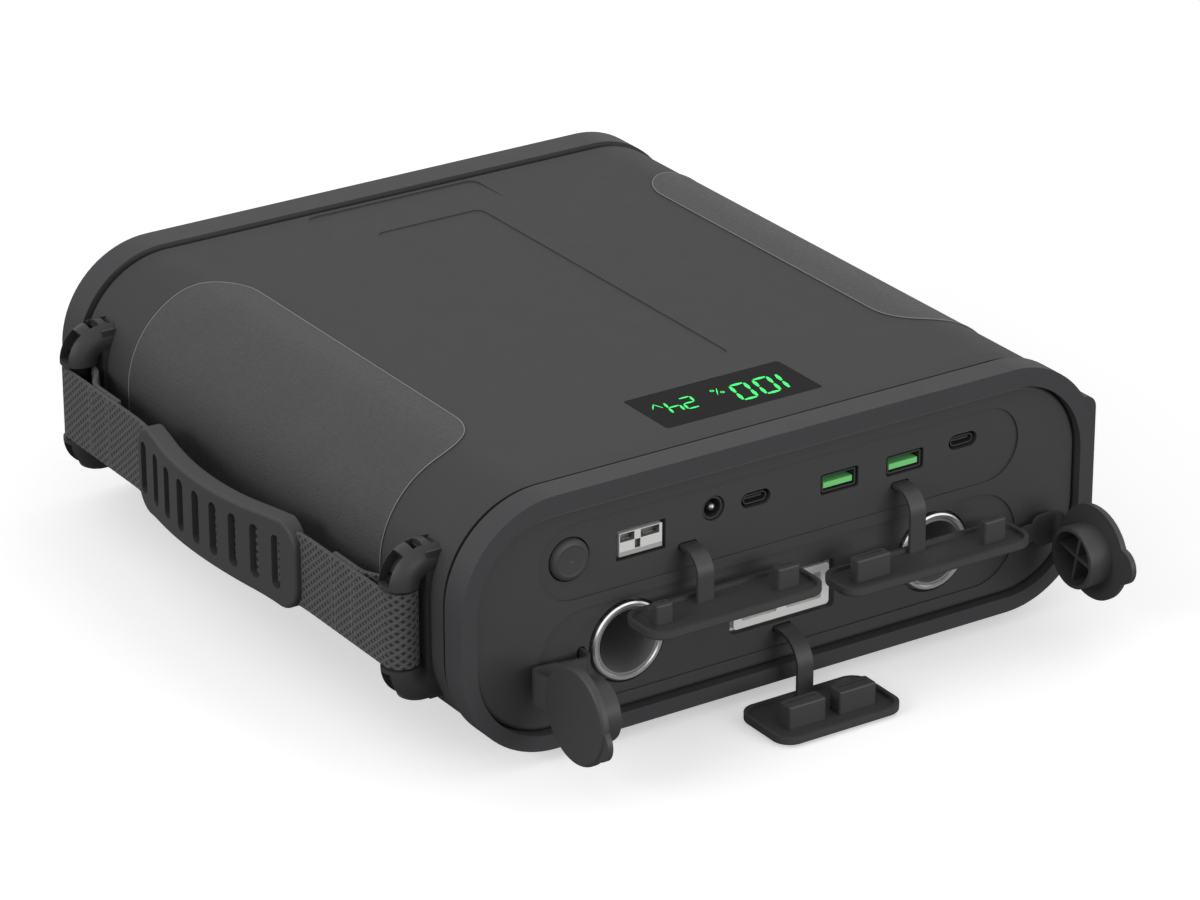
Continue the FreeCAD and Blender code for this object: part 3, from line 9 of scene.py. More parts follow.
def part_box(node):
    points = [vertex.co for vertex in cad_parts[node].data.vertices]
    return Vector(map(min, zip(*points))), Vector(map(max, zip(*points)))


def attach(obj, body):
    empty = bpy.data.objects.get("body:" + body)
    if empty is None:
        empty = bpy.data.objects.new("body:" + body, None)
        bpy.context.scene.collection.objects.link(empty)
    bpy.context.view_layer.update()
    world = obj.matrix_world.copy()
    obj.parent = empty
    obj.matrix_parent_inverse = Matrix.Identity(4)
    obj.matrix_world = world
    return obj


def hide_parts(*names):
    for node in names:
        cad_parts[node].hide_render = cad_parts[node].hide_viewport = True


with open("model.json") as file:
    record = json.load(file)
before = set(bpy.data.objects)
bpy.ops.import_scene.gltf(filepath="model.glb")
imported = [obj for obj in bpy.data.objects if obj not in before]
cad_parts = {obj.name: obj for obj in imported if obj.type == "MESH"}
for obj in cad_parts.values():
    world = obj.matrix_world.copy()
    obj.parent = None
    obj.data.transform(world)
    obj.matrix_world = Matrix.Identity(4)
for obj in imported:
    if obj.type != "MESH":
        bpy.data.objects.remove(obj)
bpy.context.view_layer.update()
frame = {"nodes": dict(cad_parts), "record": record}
nodes = frame["nodes"]
MM = 0.001

# Camera: a long lens in front of the left corner, looking down on the port side
CAMERA_PLACE = (-0.8537, -1.3204, 0.74065)
CAMERA_YAW = 33.288
CAMERA_PITCH = 24.137
CAMERA_ROLL = -0.067
CAMERA_LENS = 154.09

camera_data = bpy.data.cameras.new("photo_camera")
camera_data.sensor_width = 36
camera_data.lens = CAMERA_LENS
camera_data.clip_end = 50
camera = bpy.data.objects.new("photo_camera", camera_data)
bpy.context.collection.objects.link(camera)
turn = Matrix.Rotation(math.radians(-CAMERA_YAW), 4, "Z")
tilt = Matrix.Rotation(math.radians(90 - CAMERA_PITCH), 4, "X")
roll = Matrix.Rotation(math.radians(CAMERA_ROLL), 4, "Z")
camera.matrix_world = Matrix.Translation(CAMERA_PLACE) @ turn @ tilt @ roll
bpy.context.scene.camera = camera
bpy.context.scene.view_settings.view_transform = "Standard"


def colour(code):
    """Turns an sRGB hex value into linear red, green, blue and alpha."""
    parts = [int(code[i : i + 2], 16) / 255 for i in (1, 3, 5)]
    return [c / 12.92 if c <= 0.04045 else ((c + 0.055) / 1.055) ** 2.4 for c in parts] + [1.0]


def add(mat, kind, inputs=None, **settings):
    """Adds one node with its settings, values and links."""
    node = mat.node_tree.nodes.new(kind)
    for key, value in settings.items():
        setattr(node, key, value)
    for key, value in (inputs or {}).items():
        if isinstance(value, bpy.types.NodeSocket):
            mat.node_tree.links.new(value, node.inputs[key])
        else:
            node.inputs[key].default_value = value
    return node


def empty_material(name):
    mat = bpy.data.materials.new(name)
    mat.use_nodes = True
    mat.node_tree.nodes.clear()
    return mat


def close(mat, shader):
    add(mat, "ShaderNodeOutputMaterial", {"Surface": shader.outputs[0]})
    return mat


def speckle(mat, place, size_mm, low, high, detail=3.0):
    """Noise of one real size, mapped to a range of grey values."""
    noise = add(mat, "ShaderNodeTexNoise", {"Vector": place, "Scale": 1 / (size_mm * MM), "Detail": detail})
    spread = add(
        mat,
        "ShaderNodeMapRange",
        {"Value": noise.outputs["Fac"], "From Min": 0.3, "From Max": 0.7, "To Min": low, "To Max": high},
    )
    return spread.outputs["Result"]


def shaded(mat, base, place, drift, patch_mm):
    """The base colour with a slow drift of lightness across the surface."""
    fac = speckle(mat, place, patch_mm, 1 - drift, 1 + drift, 2.0)
    mix = add(mat, "ShaderNodeVectorMath", {0: colour(base)[:3], "Scale": fac}, operation="SCALE")
    return mix.outputs[0]


def moulded(name, base, rough, grit_mm, grit, drift=0.012, metallic=0.0, specular=0.35):
    """Moulded or coated surface: fine spark-eroded grit, slow drift of tone, small change of gloss."""
    mat = empty_material(name)
    place = add(mat, "ShaderNodeTexCoord").outputs["Object"]
    height = speckle(mat, place, grit_mm, 0.0, 1.0)
    bump = add(mat, "ShaderNodeBump", {"Height": height, "Strength": grit, "Distance": 0.1 * MM})
    inputs = {
        "Base Color": shaded(mat, base, place, drift, 22.0),
        "Roughness": speckle(mat, place, 9.0, rough - 0.015, rough + 0.015),
        "Metallic": metallic,
        "Specular IOR Level": 0.5 if metallic else specular,
        "Normal": bump.outputs[0],
    }
    return close(mat, add(mat, "ShaderNodeBsdfPrincipled", inputs))


def leather_grained(name, base, rough):
    """Moulded rubber with a leather grain: pebbles of about 1 mm with pressed lines between them."""
    mat = empty_material(name)
    place = add(mat, "ShaderNodeTexCoord").outputs["Object"]
    warp = add(mat, "ShaderNodeTexNoise", {"Vector": place, "Scale": 1 / (2.4 * MM), "Detail": 2.0})
    centred = add(
        mat, "ShaderNodeVectorMath", {0: warp.outputs["Color"], 1: (0.5, 0.5, 0.5)}, operation="SUBTRACT"
    )
    push = add(mat, "ShaderNodeVectorMath", {0: centred.outputs[0], "Scale": 1.3 * MM}, operation="SCALE")
    moved = add(mat, "ShaderNodeVectorMath", {0: place, 1: push.outputs[0]}, operation="ADD")
    cells = add(
        mat,
        "ShaderNodeTexVoronoi",
        {"Vector": moved.outputs[0], "Scale": 1 / (1.25 * MM)},
        feature="DISTANCE_TO_EDGE",
    )
    pebble = add(
        mat,
        "ShaderNodeMapRange",
        {"Value": cells.outputs["Distance"], "From Max": 0.16, "To Max": 1.0},
        interpolation_type="SMOOTHERSTEP",
    )
    swell = speckle(mat, place, 3.2, 0.0, 0.6)
    height = add(mat, "ShaderNodeMath", {0: pebble.outputs["Result"], 1: swell}, operation="ADD")
    bump = add(mat, "ShaderNodeBump", {"Height": height.outputs[0], "Strength": 0.45, "Distance": 0.16 * MM})
    # painted shade: the colour drops to 0.86 in the pressed lines between the pebbles, where shade falls
    tone = add(
        mat,
        "ShaderNodeMapRange",
        {"Value": pebble.outputs["Result"], "To Min": 0.86, "To Max": 1.02},
    )
    base_colour = add(
        mat,
        "ShaderNodeVectorMath",
        {0: shaded(mat, base, place, 0.04, 25.0), "Scale": tone.outputs["Result"]},
        operation="SCALE",
    )
    inputs = {
        "Base Color": base_colour.outputs[0],
        "Specular IOR Level": 0.35,
        "Roughness": speckle(mat, place, 1.2, rough - 0.06, rough + 0.06),
        "Normal": bump.outputs[0],
    }
    return close(mat, add(mat, "ShaderNodeBsdfPrincipled", inputs))


def woven(name, base, dark, pitch_along_mm, pitch_across_mm):
    """Polyester webbing: two crossing sets of slanted yarns, read from the band's own map in metres."""
    mat = empty_material(name)
    flat = add(mat, "ShaderNodeTexCoord").outputs["UV"]
    parts = add(mat, "ShaderNodeSeparateXYZ", {0: flat})
    turns_along = math.tau / (pitch_along_mm * MM)
    turns_across = math.tau / (pitch_across_mm * MM)
    along = add(mat, "ShaderNodeMath", {0: parts.outputs[0], 1: turns_along}, operation="MULTIPLY")
    across = add(mat, "ShaderNodeMath", {0: parts.outputs[1], 1: turns_across}, operation="MULTIPLY")
    ridges = []
    for way, lift in (("ADD", 0.0), ("SUBTRACT", 0.15)):
        phase = add(mat, "ShaderNodeMath", {0: along.outputs[0], 1: across.outputs[0]}, operation=way)
        wave = add(mat, "ShaderNodeMath", {0: phase.outputs[0]}, operation="SINE")
        ridge = add(
            mat,
            "ShaderNodeMapRange",
            {"Value": wave.outputs[0], "From Min": -0.75, "From Max": 0.8, "To Max": 1.0 - lift},
            interpolation_type="SMOOTHSTEP",
        )
        ridges.append(ridge.outputs["Result"])
    top = add(mat, "ShaderNodeMath", {0: ridges[0], 1: ridges[1]}, operation="MAXIMUM")
    thread = speckle(mat, flat, 0.35, -0.12, 0.12)
    height = add(mat, "ShaderNodeMath", {0: top.outputs[0], 1: thread}, operation="ADD")
    bump = add(mat, "ShaderNodeBump", {"Height": height.outputs[0], "Strength": 0.8, "Distance": 0.45 * MM})
    # painted shade: the colour falls to the darker grey where the yarns sink and rises to the base grey on
    # their tops
    yarn_colour_with_painted_shade = add(
        mat,
        "ShaderNodeMix",
        {"Factor": height.outputs[0], 6: colour(dark), 7: colour(base)},
        data_type="RGBA",
    )
    inputs = {
        "Base Color": yarn_colour_with_painted_shade.outputs[2],
        "Roughness": speckle(mat, flat, 0.8, 0.72, 0.88),
        "Specular IOR Level": 0.25,
        "Sheen Weight": 0.12,
        "Sheen Roughness": 0.5,
        "Normal": bump.outputs[0],
    }
    return close(mat, add(mat, "ShaderNodeBsdfPrincipled", inputs))


def lit(name, base, strength):
    """Backlit segment behind dark glass: its own colour plus a steady glow."""
    mat = empty_material(name)
    place = add(mat, "ShaderNodeTexCoord").outputs["Object"]
    inputs = {
        "Base Color": shaded(mat, base, place, 0.05, 1.5),
        "Emission Color": colour(base),
        "Emission Strength": strength,
        "Roughness": 0.4,
    }
    return close(mat, add(mat, "ShaderNodeBsdfPrincipled", inputs))


# Finishes, one for each slot of the record. Numbers: roughness, grit size in mm, depth of the grit,
# then drift of tone and how metallic the surface is.
finishes = {
    # powder coat, sprayed and baked: dead flat grey with a fine even grit, no clear reflections
    "sleeve_coating": moulded("powder_coated_aluminium", "#434344", 0.62, 0.9, 0.2, specular=0.2),
    # ABS from a spark-eroded mould: close to the sleeve in tone, a little smoother at the edges
    "bezel_plastic": moulded("moulded_abs_satin", "#444446", 0.55, 0.8, 0.2, specular=0.22),
    # ABS from a finer mould: smoother, and a touch darker in colour as painted shade, so the port panel reads
    # as set back
    "panel_plastic": moulded("moulded_abs_smooth", "#424243", 0.5, 0.7, 0.12),
    # filled nylon: soft broad sheen on the round arms
    "bracket_plastic": moulded("moulded_nylon", "#373738", 0.48, 0.7, 0.15),
    # extruded rubber: near black, so each groove shows as a dark line
    "seal_rubber": moulded("extruded_seal_rubber", "#1b1b1c", 0.7, 0.8, 0.15),
    # moulded rubber: black and matt
    "foot_rubber": moulded("moulded_foot_rubber", "#222223", 0.8, 0.8, 0.3),
    # rubber with a leather grain pressed in: small pebbles that break up the light
    "grained_pad": leather_grained("leather_grained_rubber", "#474748", 0.55),
    # polyester webbing, woven: raised slanted yarns 3.3 mm apart along the band and 2.7 mm across it; the
    # darker grey is painted shade between the yarns
    "webbing": woven("woven_polyester_webbing", "#595959", "#232323", 3.3, 2.7),
    # moulded rubber: matt, softer than the case
    "grip_rubber": moulded("grip_rubber", "#414142", 0.55, 0.8, 0.2),
    # moulded soft rubber: faint sheen on the covers' rims and plugs
    "cover_rubber": moulded("soft_cover_rubber", "#434344", 0.48, 0.8, 0.16),
    # the same rubber on the button, which matches the panel round it
    "button_rubber": moulded("button_rubber", "#434344", 0.5, 0.8, 0.16),
    # blackened steel: dark with a dull metal glint
    "black_screws": moulded("blackened_screw_steel", "#2a2a2b", 0.38, 0.6, 0.15, metallic=0.6),
    "bar_steel": moulded("blackened_bar_steel", "#2a2a2b", 0.35, 0.6, 0.1, metallic=0.6),
    # plain black nylon, hidden behind the button
    "switch_plastic": moulded("switch_nylon", "#222222", 0.5, 0.8, 0.1),
    # smoked acrylic: near black, its gloss kept low so that the figures read
    "display_glass": moulded("smoked_acrylic", "#0d0d0e", 0.3, 1.5, 0.01, specular=0.03),
    # dark plastic frame of the display, hidden under the window
    "display_module": moulded("display_frame_plastic", "#3a3a3a", 0.5, 0.8, 0.1),
    # solder mask on fibreglass: deep green with a slight gloss
    "circuit_board": moulded("green_solder_mask", "#1c4a2c", 0.35, 1.2, 0.1, 0.12),
    # nylon in its natural pale colour: clean light grey, slightly glossy
    "grey_connector": moulded("light_grey_nylon", "#e6e6e4", 0.42, 0.8, 0.1),
    "white_connector": moulded("pale_nylon", "#f0f0ee", 0.42, 0.8, 0.1),
    # dyed nylon: dark grey with a slight gloss
    "black_connector": moulded("dark_grey_nylon", "#3c3c3d", 0.35, 0.8, 0.1),
    # silvered copper: pale and bright, with soft reflections
    "silver_contact": moulded("silvered_copper", "#c4c4c2", 0.3, 0.6, 0.08, 0.05, 1.0),
    # tinned brass: pale metal with a faint warmth
    "brass_contact": moulded("plated_contact", "#b5b3ad", 0.32, 0.6, 0.08, 0.06, 0.9),
    # plated steel, dulled: dark grey metal round each port
    "port_steel": moulded("dark_plated_steel", "#5c5c5d", 0.4, 0.6, 0.1, 0.05, 0.7),
    # dyed plastic: clear light green
    "green_tongue": moulded("green_port_plastic", "#7fe085", 0.4, 0.8, 0.06),
    # chromed brass: bright ring with softened reflections
    "socket_ring": moulded("chromed_ring", "#fafafa", 0.32, 2.0, 0.02, 0.01, 1.0),
    # coated steel tube: matt mid grey, its colour even towards its end
    "socket_barrel": moulded("grey_barrel_coating", "#868687", 0.5, 0.8, 0.2),
    # shrunk plastic sleeve: plain blue, slightly glossy
    "cell_case": moulded("blue_cell_sleeve", "#2b5f93", 0.4, 1.2, 0.05),
    # moulded ABS: dark and matt
    "tray_plastic": moulded("tray_abs", "#2c2c2d", 0.6, 0.9, 0.2),
    # rolled nickel: pale warm grey metal
    "nickel_strip": moulded("nickel_strip", "#bab6aa", 0.36, 0.8, 0.08, 0.05, 1.0),
    # cut foam: open texture and no gloss
    "foam": moulded("packing_foam", "#3a3a3b", 0.95, 0.9, 0.8, 0.1),
    # silicone sleeve: near black, slightly glossy
    "lead_sleeve": moulded("lead_sleeve", "#202021", 0.5, 0.9, 0.1),
}
# the same nylon as the connector, seen in the shade of its windows
window_grey = moulded("shaded_grey_nylon", "#767675", 0.5, 0.8, 0.1)
# the same nylon along the connector's lower lip, a shade darker: painted shade
lip_painted_shade_grey = moulded("grey_nylon_lip_painted_shade", "#b4b4b2", 0.45, 0.8, 0.1)
# a thin bead round each pad; its paler colour is a painted highlight of the light caught along the pad's edge
painted_highlight_bead = moulded("pad_painted_highlight_bead", "#8b8b8c", 0.45, 0.8, 0.1)
# bonded thread: matt, paler than the webbing it holds
sewing_thread = moulded("bonded_sewing_thread", "#6a6a6b", 0.7, 0.35, 0.4)
# liquid crystal segments lit from behind: clear green glow of their own
lit_green = lit("backlit_green_segments", "#17d45a", 0.9)

for part in frame["record"]["subparts"]:
    mesh = nodes[part["node"]].data
    finish = finishes[part["material_slot"]]
    if not mesh.materials:
        mesh.materials.append(finish)
    for i in range(len(mesh.materials)):
        mesh.materials[i] = finish


def piece(name, bm, finish, body="case", instead_of=None):
    """Makes one object from a finished bmesh, in place, and gives it to its body."""
    mesh = bpy.data.meshes.new(name)
    bm.to_mesh(mesh)
    bm.free()
    obj = bpy.data.objects.new(name, mesh)
    bpy.context.collection.objects.link(obj)
    mesh.materials.append(finish)
    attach(obj, body)
    if instead_of:
        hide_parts(instead_of)
    return obj


# Carry strap: one band of webbing, folded round both bars and bowed under the grip
strap_low, strap_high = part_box("carry_strap")
bars_low, bars_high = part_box("strap_bars")
BAR_R = 3.9 * MM
STRAP_THICKNESS = 1.8 * MM
STRAP_BOW = 5.8 * MM
STRAP_STRAIGHT = 44.0 * MM
STRAP_TAIL = 34.0 * MM
turn_r = BAR_R + 0.1 * MM + STRAP_THICKNESS / 2
bar_x = (bars_low[0] + bars_high[0]) / 2
bar_front = bars_low[1] + BAR_R
bar_rear = bars_high[1] - BAR_R
run_x = bar_x - turn_r
near_x = run_x + STRAP_THICKNESS
middle_y = (bar_front + bar_rear) / 2
bow_half = (bar_rear - bar_front) / 2 - STRAP_STRAIGHT


def bow(y):
    """How far the run stands out at one place along it."""
    reach = min(abs(y - middle_y) / bow_half, 1.0)
    return STRAP_BOW * (0.5 + 0.5 * math.cos(math.pi * reach))


half_path = []
for i in range(30):
    y = bar_front + (middle_y - bar_front) * i / 29
    half_path.append((run_x - bow(y), y))
turned = []
for i in range(1, 14):
    angle = math.pi * i / 14
    turned.append((bar_x - turn_r * math.cos(angle), bar_front - turn_r * math.sin(angle)))
fold_x = bar_x + turn_r - 1.4 * MM
fold = [(bar_x + turn_r, bar_front), (fold_x, bar_front + 4 * MM)]
for i in range(1, 8):
    s = i / 8
    ease = s * s * (3 - 2 * s)
    fold.append((fold_x + (near_x - fold_x) * ease, bar_front + (4 + 15 * s) * MM))
fold.append((near_x, bar_front + 20 * MM))
fold.append((near_x, bar_front + STRAP_TAIL))
front_half = list(reversed(turned + fold)) + half_path
strap_path = front_half + [(x, 2 * middle_y - y) for x, y in reversed(front_half[:-1])]

bm = bmesh.new()
heights = [strap_low[2] + (strap_high[2] - strap_low[2]) * i / 8 for i in range(9)]
row = [bm.verts.new((strap_path[0][0], strap_path[0][1], z)) for z in heights]
edges = [bm.edges.new(pair) for pair in zip(row, row[1:])]
along = {v: 0.0 for v in row}
length = 0.0
for before, after in zip(strap_path, strap_path[1:]):
    step = Vector((after[0] - before[0], after[1] - before[1], 0))
    length += step.length
    grown = bmesh.ops.extrude_edge_only(bm, edges=edges)["geom"]
    new_verts = [g for g in grown if isinstance(g, bmesh.types.BMVert)]
    edges = [g for g in grown if isinstance(g, bmesh.types.BMEdge)]
    bmesh.ops.translate(bm, verts=new_verts, vec=step)
    along.update({v: length for v in new_verts})
    edges = [e for e in edges if all(v in new_verts for v in e.verts)]
weave_map = bm.loops.layers.uv.new("UVMap")
for face in bm.faces:
    for loop in face.loops:
        loop[weave_map].uv = (along[loop.vert], loop.vert.co.z)
strap = piece("webbing_carry_strap", bm, finishes["webbing"], instead_of="carry_strap")
thick = strap.modifiers.new("thickness", "SOLIDIFY")
thick.thickness = STRAP_THICKNESS
thick.offset = 0
rounding = strap.modifiers.new("rounded_edges", "BEVEL")
rounding.width = 0.5 * MM
rounding.segments = 2
rounding.limit_method = "ANGLE"
rounding.angle_limit = math.radians(60)

# Display figures: backlit segments printed under the smoked window, read from the back
glass_low, glass_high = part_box("lcd_window")
FIGURE_TOP = glass_high[2] + 0.02 * MM
FIGURE_LEAN = 0.19
SEGMENTS = {
    "0": "abcdef",
    "1": "bc",
    "2": "abged",
    "4": "fgbc",
}


def bar_shape(bm, centre, half_length, half_width, upright):
    """One segment: a six-sided bar, stretched from a hexagon."""
    made = bmesh.ops.create_circle(bm, segments=6, radius=half_width, cap_ends=True)["verts"]
    for v in made:
        side = 0 if abs(v.co.x) < 1e-7 else math.copysign(1, v.co.x)
        v.co.x += side * (half_length - half_width)
    if upright:
        bmesh.ops.rotate(bm, verts=made, cent=(0, 0, 0), matrix=Matrix.Rotation(math.pi / 2, 3, "Z"))
    bmesh.ops.translate(bm, verts=made, vec=(centre[0], centre[1], 0))
    return made


def figure(bm, sign, right, top, width, height, stroke):
    """A seven-segment figure; right and top are where its reader sees its right top corner."""
    half, quarter = width / 2 - stroke / 2, height / 4
    gap = stroke * 0.22
    spots = {
        "a": ((0, height / 2 - stroke / 2), False),
        "g": ((0, 0), False),
        "d": ((0, -height / 2 + stroke / 2), False),
        "b": ((half, quarter - stroke / 4), True),
        "c": ((half, -quarter + stroke / 4), True),
        "f": ((-half, quarter - stroke / 4), True),
        "e": ((-half, -quarter + stroke / 4), True),
    }
    made = []
    for name in SEGMENTS[sign]:
        spot, upright = spots[name]
        reach = quarter - gap - stroke / 4 if upright else half - gap
        made += bar_shape(bm, spot, reach, stroke / 2, upright)
    for v in made:
        lean = (v.co.y - height / 2) * FIGURE_LEAN
        v.co.x, v.co.y = right - (v.co.x - width / 2 + lean), top - (v.co.y - height / 2)


def ring_mark(bm, x, y, radius, stroke):
    """A small open ring, for the two noughts of the per cent sign."""
    inner = bmesh.ops.create_circle(bm, segments=16, radius=radius - stroke)["verts"]
    rim = list({e for v in inner for e in v.link_edges})
    grown = bmesh.ops.extrude_edge_only(bm, edges=rim)["geom"]
    outer = [g for g in grown if isinstance(g, bmesh.types.BMVert)]
    factor = radius / (radius - stroke)
    bmesh.ops.scale(bm, verts=outer, vec=(factor, factor, 1))
    bmesh.ops.translate(bm, verts=inner + outer, vec=(x, y, 0))


bm = bmesh.new()
# large figures: 13 mm high, 9 mm apart
for sign, right in (("1", 19.9), ("0", 11.0), ("0", 2.1)):
    figure(bm, sign, right * MM, -99.5 * MM, 7.0 * MM, 13.0 * MM, 1.5 * MM)
# small figures: 9 mm high
for sign, right in (("2", -16.2), ("4", -21.9)):
    figure(bm, sign, right * MM, -95.5 * MM, 5.2 * MM, 9.2 * MM, 1.0 * MM)
# per cent sign and the letter for volts
ring_mark(bm, 0.8 * MM, -89.9 * MM, 0.75 * MM, 0.35 * MM)
ring_mark(bm, -1.5 * MM, -87.3 * MM, 0.75 * MM, 0.35 * MM)
slash = bar_shape(bm, (0, 0), 2.4 * MM, 0.22 * MM, False)
bmesh.ops.rotate(bm, verts=slash, cent=(0, 0, 0), matrix=Matrix.Rotation(math.radians(62), 3, "Z"))
bmesh.ops.translate(bm, verts=slash, vec=(-0.4 * MM, -88.6 * MM, 0))
V_FOOT = Vector((-23.2, -86.1, 0)) * MM
for end in (Vector((-25.4, -89.3, 0)) * MM, Vector((-21.9, -89.8, 0)) * MM):
    way = end - V_FOOT
    stroke = bar_shape(bm, (0, 0), way.length / 2, 0.24 * MM, False)
    spin = Matrix.Rotation(math.atan2(way.y, way.x), 3, "Z")
    bmesh.ops.rotate(bm, verts=stroke, cent=(0, 0, 0), matrix=spin)
    bmesh.ops.translate(bm, verts=stroke, vec=(V_FOOT + end) / 2)
bmesh.ops.translate(bm, verts=bm.verts[:], vec=(0, 0, FIGURE_TOP))
bmesh.ops.recalc_face_normals(bm, faces=bm.faces[:])
for face in bm.faces:
    if face.normal.z < 0:
        face.normal_flip()
figures = piece("display_figures", bm, lit_green)
figure_depth = figures.modifiers.new("thickness", "SOLIDIFY")
figure_depth.thickness = 0.06 * MM
figure_depth.offset = 0

# Twin connector: two housings side by side, with open windows above and a keying square between
WINDOW_DEPTH = 3.0 * MM
KEY_DEPTH = 1.6 * MM
twin_low, twin_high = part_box("twin_connector_housings")
x_stops = [twin_low[0], twin_low[0] + 0.3 * MM, -56.4 * MM, -54.0 * MM, twin_high[0] - 1.1 * MM, twin_high[0]]
z_stops = [twin_low[2], 63.5 * MM, 66.8 * MM, twin_high[2] - 0.25 * MM, twin_high[2]]
bm = bmesh.new()
bmesh.ops.create_grid(bm, x_segments=5, y_segments=4, size=1.0)
for v in bm.verts:
    column, level = round((v.co.x + 1) / 2 * 5), round((v.co.y + 1) / 2 * 4)
    v.co = (x_stops[column], twin_low[1], z_stops[level])


def cell(bm, column, level):
    """The face of the connector's front grid between two stops each way."""
    x = (x_stops[column] + x_stops[column + 1]) / 2
    z = (z_stops[level] + z_stops[level + 1]) / 2
    return min(bm.faces, key=lambda f: (f.calc_center_median() - Vector((x, twin_low[1], z))).length)


windows = [cell(bm, 1, 2), cell(bm, 3, 2)]
strip_faces = [cell(bm, i, 0) for i in range(5)]
key_face = cell(bm, 2, 1)
rim = [e for e in bm.edges if e.is_boundary]
grown = bmesh.ops.extrude_edge_only(bm, edges=rim)["geom"]
back = [g for g in grown if isinstance(g, bmesh.types.BMVert)]
bmesh.ops.translate(bm, verts=back, vec=(0, twin_high[1] - twin_low[1], 0))
bmesh.ops.edgeloop_fill(bm, edges=[g for g in grown if isinstance(g, bmesh.types.BMEdge) and g.is_boundary])
bmesh.ops.recalc_face_normals(bm, faces=bm.faces[:])
bmesh.ops.inset_individual(bm, faces=[key_face], thickness=0.3 * MM)
bmesh.ops.inset_individual(bm, faces=windows, thickness=0.02 * MM, depth=-WINDOW_DEPTH)
bmesh.ops.inset_individual(bm, faces=[key_face], thickness=0.02 * MM, depth=-KEY_DEPTH)
# painted shade: faces inside the windows take the shaded copy of the nylon, and the lower strip takes the
# darker lip copy
for face in bm.faces:
    centre = face.calc_center_median()
    if centre.y > twin_low[1] + 0.2 * MM and x_stops[0] + MM * 0.2 < centre.x < x_stops[5] - MM * 0.2:
        if z_stops[0] + 0.4 * MM < centre.z < z_stops[4] - 0.1 * MM:
            face.material_index = 1
for face in strip_faces:
    face.material_index = 2
twin = piece(
    "twin_connector_fronts",
    bm,
    finishes["grey_connector"],
    instead_of="twin_connector_housings",
)
twin.data.materials.append(window_grey)
twin.data.materials.append(lip_painted_shade_grey)
twin_edges = twin.modifiers.new("moulded_edges", "BEVEL")
twin_edges.width = 0.12 * MM
twin_edges.segments = 2
twin_edges.limit_method = "ANGLE"


def pad_rim(node, side):
    """The outer edge of one side pad, as points in order, read from its CAD mesh."""
    bm = bmesh.new()
    bm.from_mesh(nodes[node].data)
    bmesh.ops.remove_doubles(bm, verts=bm.verts[:], dist=0.01 * MM)
    low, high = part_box(node)
    core_x = low[0] if side > 0 else high[0]
    core_z = (low[2] + high[2]) / 2

    def outward(face):
        centre = face.calc_center_median()
        way = Vector((centre.x - core_x, 0, centre.z - core_z)).normalized()
        return face.normal.dot(way) > 0.45

    inner = [e for e in bm.edges if len(e.link_faces) == 2]
    rim = [e for e in inner if outward(e.link_faces[0]) != outward(e.link_faces[1])]
    links = {}
    for e in rim:
        a, b = e.verts
        links.setdefault(a, []).append(b)
        links.setdefault(b, []).append(a)
    start = max(links, key=lambda v: v.co.z)
    order, last, here = [start.co.copy()], None, start
    while True:
        ahead = [v for v in links[here] if v is not last]
        if not ahead or ahead[0] is start:
            break
        last, here = here, ahead[0]
        order.append(here.co.copy())
    bm.free()
    return order


def bead(name, points, radius, finish):
    """A thin round bead along a closed run of points."""
    curve = bpy.data.curves.new(name, "CURVE")
    curve.dimensions = "3D"
    spline = curve.splines.new("POLY")
    spline.points.add(len(points) - 1)
    for spot, place in zip(spline.points, points):
        spot.co = (*place, 1)
    spline.use_cyclic_u = True
    curve.bevel_depth = radius
    curve.bevel_resolution = 2
    curve.materials.append(finish)
    obj = bpy.data.objects.new(name, curve)
    bpy.context.collection.objects.link(obj)
    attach(obj, "case")
    return obj


BEAD_R = 0.16 * MM
# painted highlight: a pale bead along the whole rim of each pad
for node, side in (("left_pad", -1), ("right_pad", 1)):
    bead(node + "_painted_highlight_bead", pad_rim(node, side), BEAD_R, painted_highlight_bead)

# Stitching: two pairs of rows across the webbing, which hold each folded tail down
STITCH_ROWS = (17.5, 19.5, 29.5, 31.5)
STITCHES = 9
THREAD_R = 0.34 * MM
bm = bmesh.new()
for sign, bar_y in ((1, bar_front), (-1, bar_rear)):
    for offset in STITCH_ROWS:
        y = bar_y + sign * offset * MM
        for i in range(STITCHES):
            z = strap_low[2] + (strap_high[2] - strap_low[2]) * (i + 0.5) / STITCHES
            made = bmesh.ops.create_uvsphere(bm, u_segments=8, v_segments=6, radius=THREAD_R)["verts"]
            bmesh.ops.scale(bm, verts=made, vec=(0.9, 1.0, 3.2))
            x = run_x - bow(y) - STRAP_THICKNESS / 2
            bmesh.ops.translate(bm, verts=made, vec=(x, y, z))
piece("strap_stitching", bm, sewing_thread)

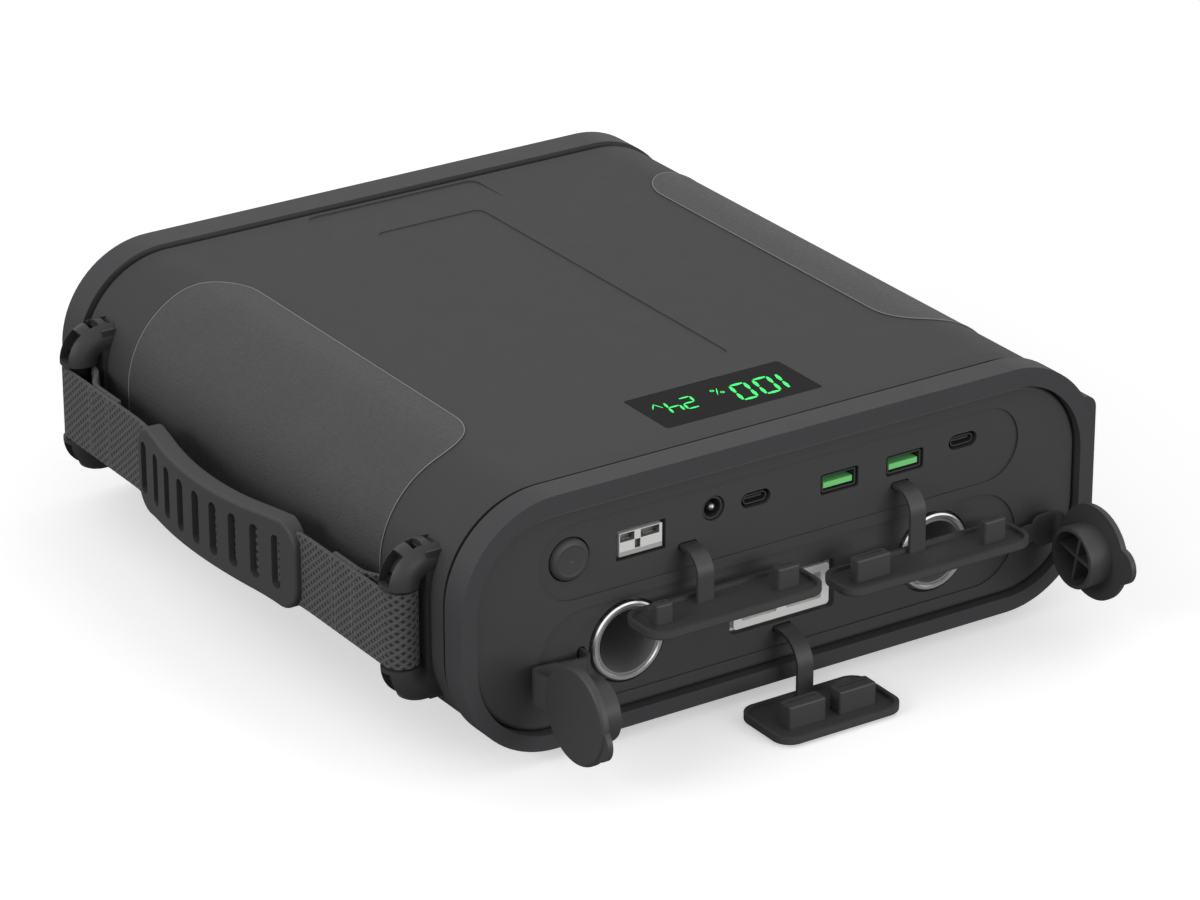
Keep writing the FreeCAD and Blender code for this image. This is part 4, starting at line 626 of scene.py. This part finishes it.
# Floor: pale paper that keeps the shadow. Light that bounces off it is held down to a mid grey
bm = bmesh.new()
bmesh.ops.create_grid(bm, x_segments=1, y_segments=1, size=6.0)
mesh = bpy.data.meshes.new("studio_floor")
bm.to_mesh(mesh)
bm.free()
floor = bpy.data.objects.new("studio_floor", mesh)
bpy.context.collection.objects.link(floor)
paper = empty_material("white_paper")
diffuse = add(paper, "ShaderNodeBsdfDiffuse", {"Color": colour("#f2f2f2")})
bounce = add(paper, "ShaderNodeBsdfDiffuse", {"Color": colour("#8c8c8c")})
glow = add(paper, "ShaderNodeEmission", {"Color": (1, 1, 1, 1), "Strength": 0.45})
both = add(paper, "ShaderNodeAddShader", {0: diffuse.outputs[0], 1: glow.outputs[0]})
rays = add(paper, "ShaderNodeLightPath")
seen = add(
    paper,
    "ShaderNodeMixShader",
    {0: rays.outputs["Is Camera Ray"], 1: bounce.outputs[0], 2: both.outputs[0]},
)
close(paper, seen)
mesh.materials.append(paper)

# World: an even dome of light, white where the camera, glass or gloss looks at it directly
world = bpy.data.worlds.new("studio_world")
bpy.context.scene.world = world
world.use_nodes = True
world.node_tree.nodes.clear()
rays = add(world, "ShaderNodeLightPath")
clear = add(
    world,
    "ShaderNodeMath",
    {0: rays.outputs["Is Camera Ray"], 1: rays.outputs["Is Transmission Ray"]},
    operation="MAXIMUM",
)
seen = add(
    world,
    "ShaderNodeMath",
    {0: clear.outputs[0], 1: rays.outputs["Is Glossy Ray"]},
    operation="MAXIMUM",
)
dome = add(world, "ShaderNodeBackground", {"Color": (1, 1, 1, 1), "Strength": 0.58})
white = add(world, "ShaderNodeBackground", {"Color": (1, 1, 1, 1), "Strength": 1.0})
mixed = add(world, "ShaderNodeMixShader", {0: seen.outputs[0], 1: dome.outputs[0], 2: white.outputs[0]})
add(world, "ShaderNodeOutputWorld", {"Surface": mixed.outputs[0]})


def softbox(name, place, target, size, watts):
    lamp = bpy.data.lights.new(name, "AREA")
    lamp.shape = "RECTANGLE"
    lamp.size, lamp.size_y = size
    lamp.energy = watts
    obj = bpy.data.objects.new(name, lamp)
    bpy.context.collection.objects.link(obj)
    aim = (Vector(target) - Vector(place)).to_track_quat("-Z", "Y").to_matrix().to_4x4()
    obj.matrix_world = Matrix.Translation(place) @ aim


softbox("left_side_softbox", (-1.7, -0.2, 0.85), (-0.1, 0, 0.05), (1.1, 0.6), 10)
softbox("port_side_softbox", (0.5, -1.9, 0.42), (0, -0.1, 0.05), (1.2, 0.6), 12)
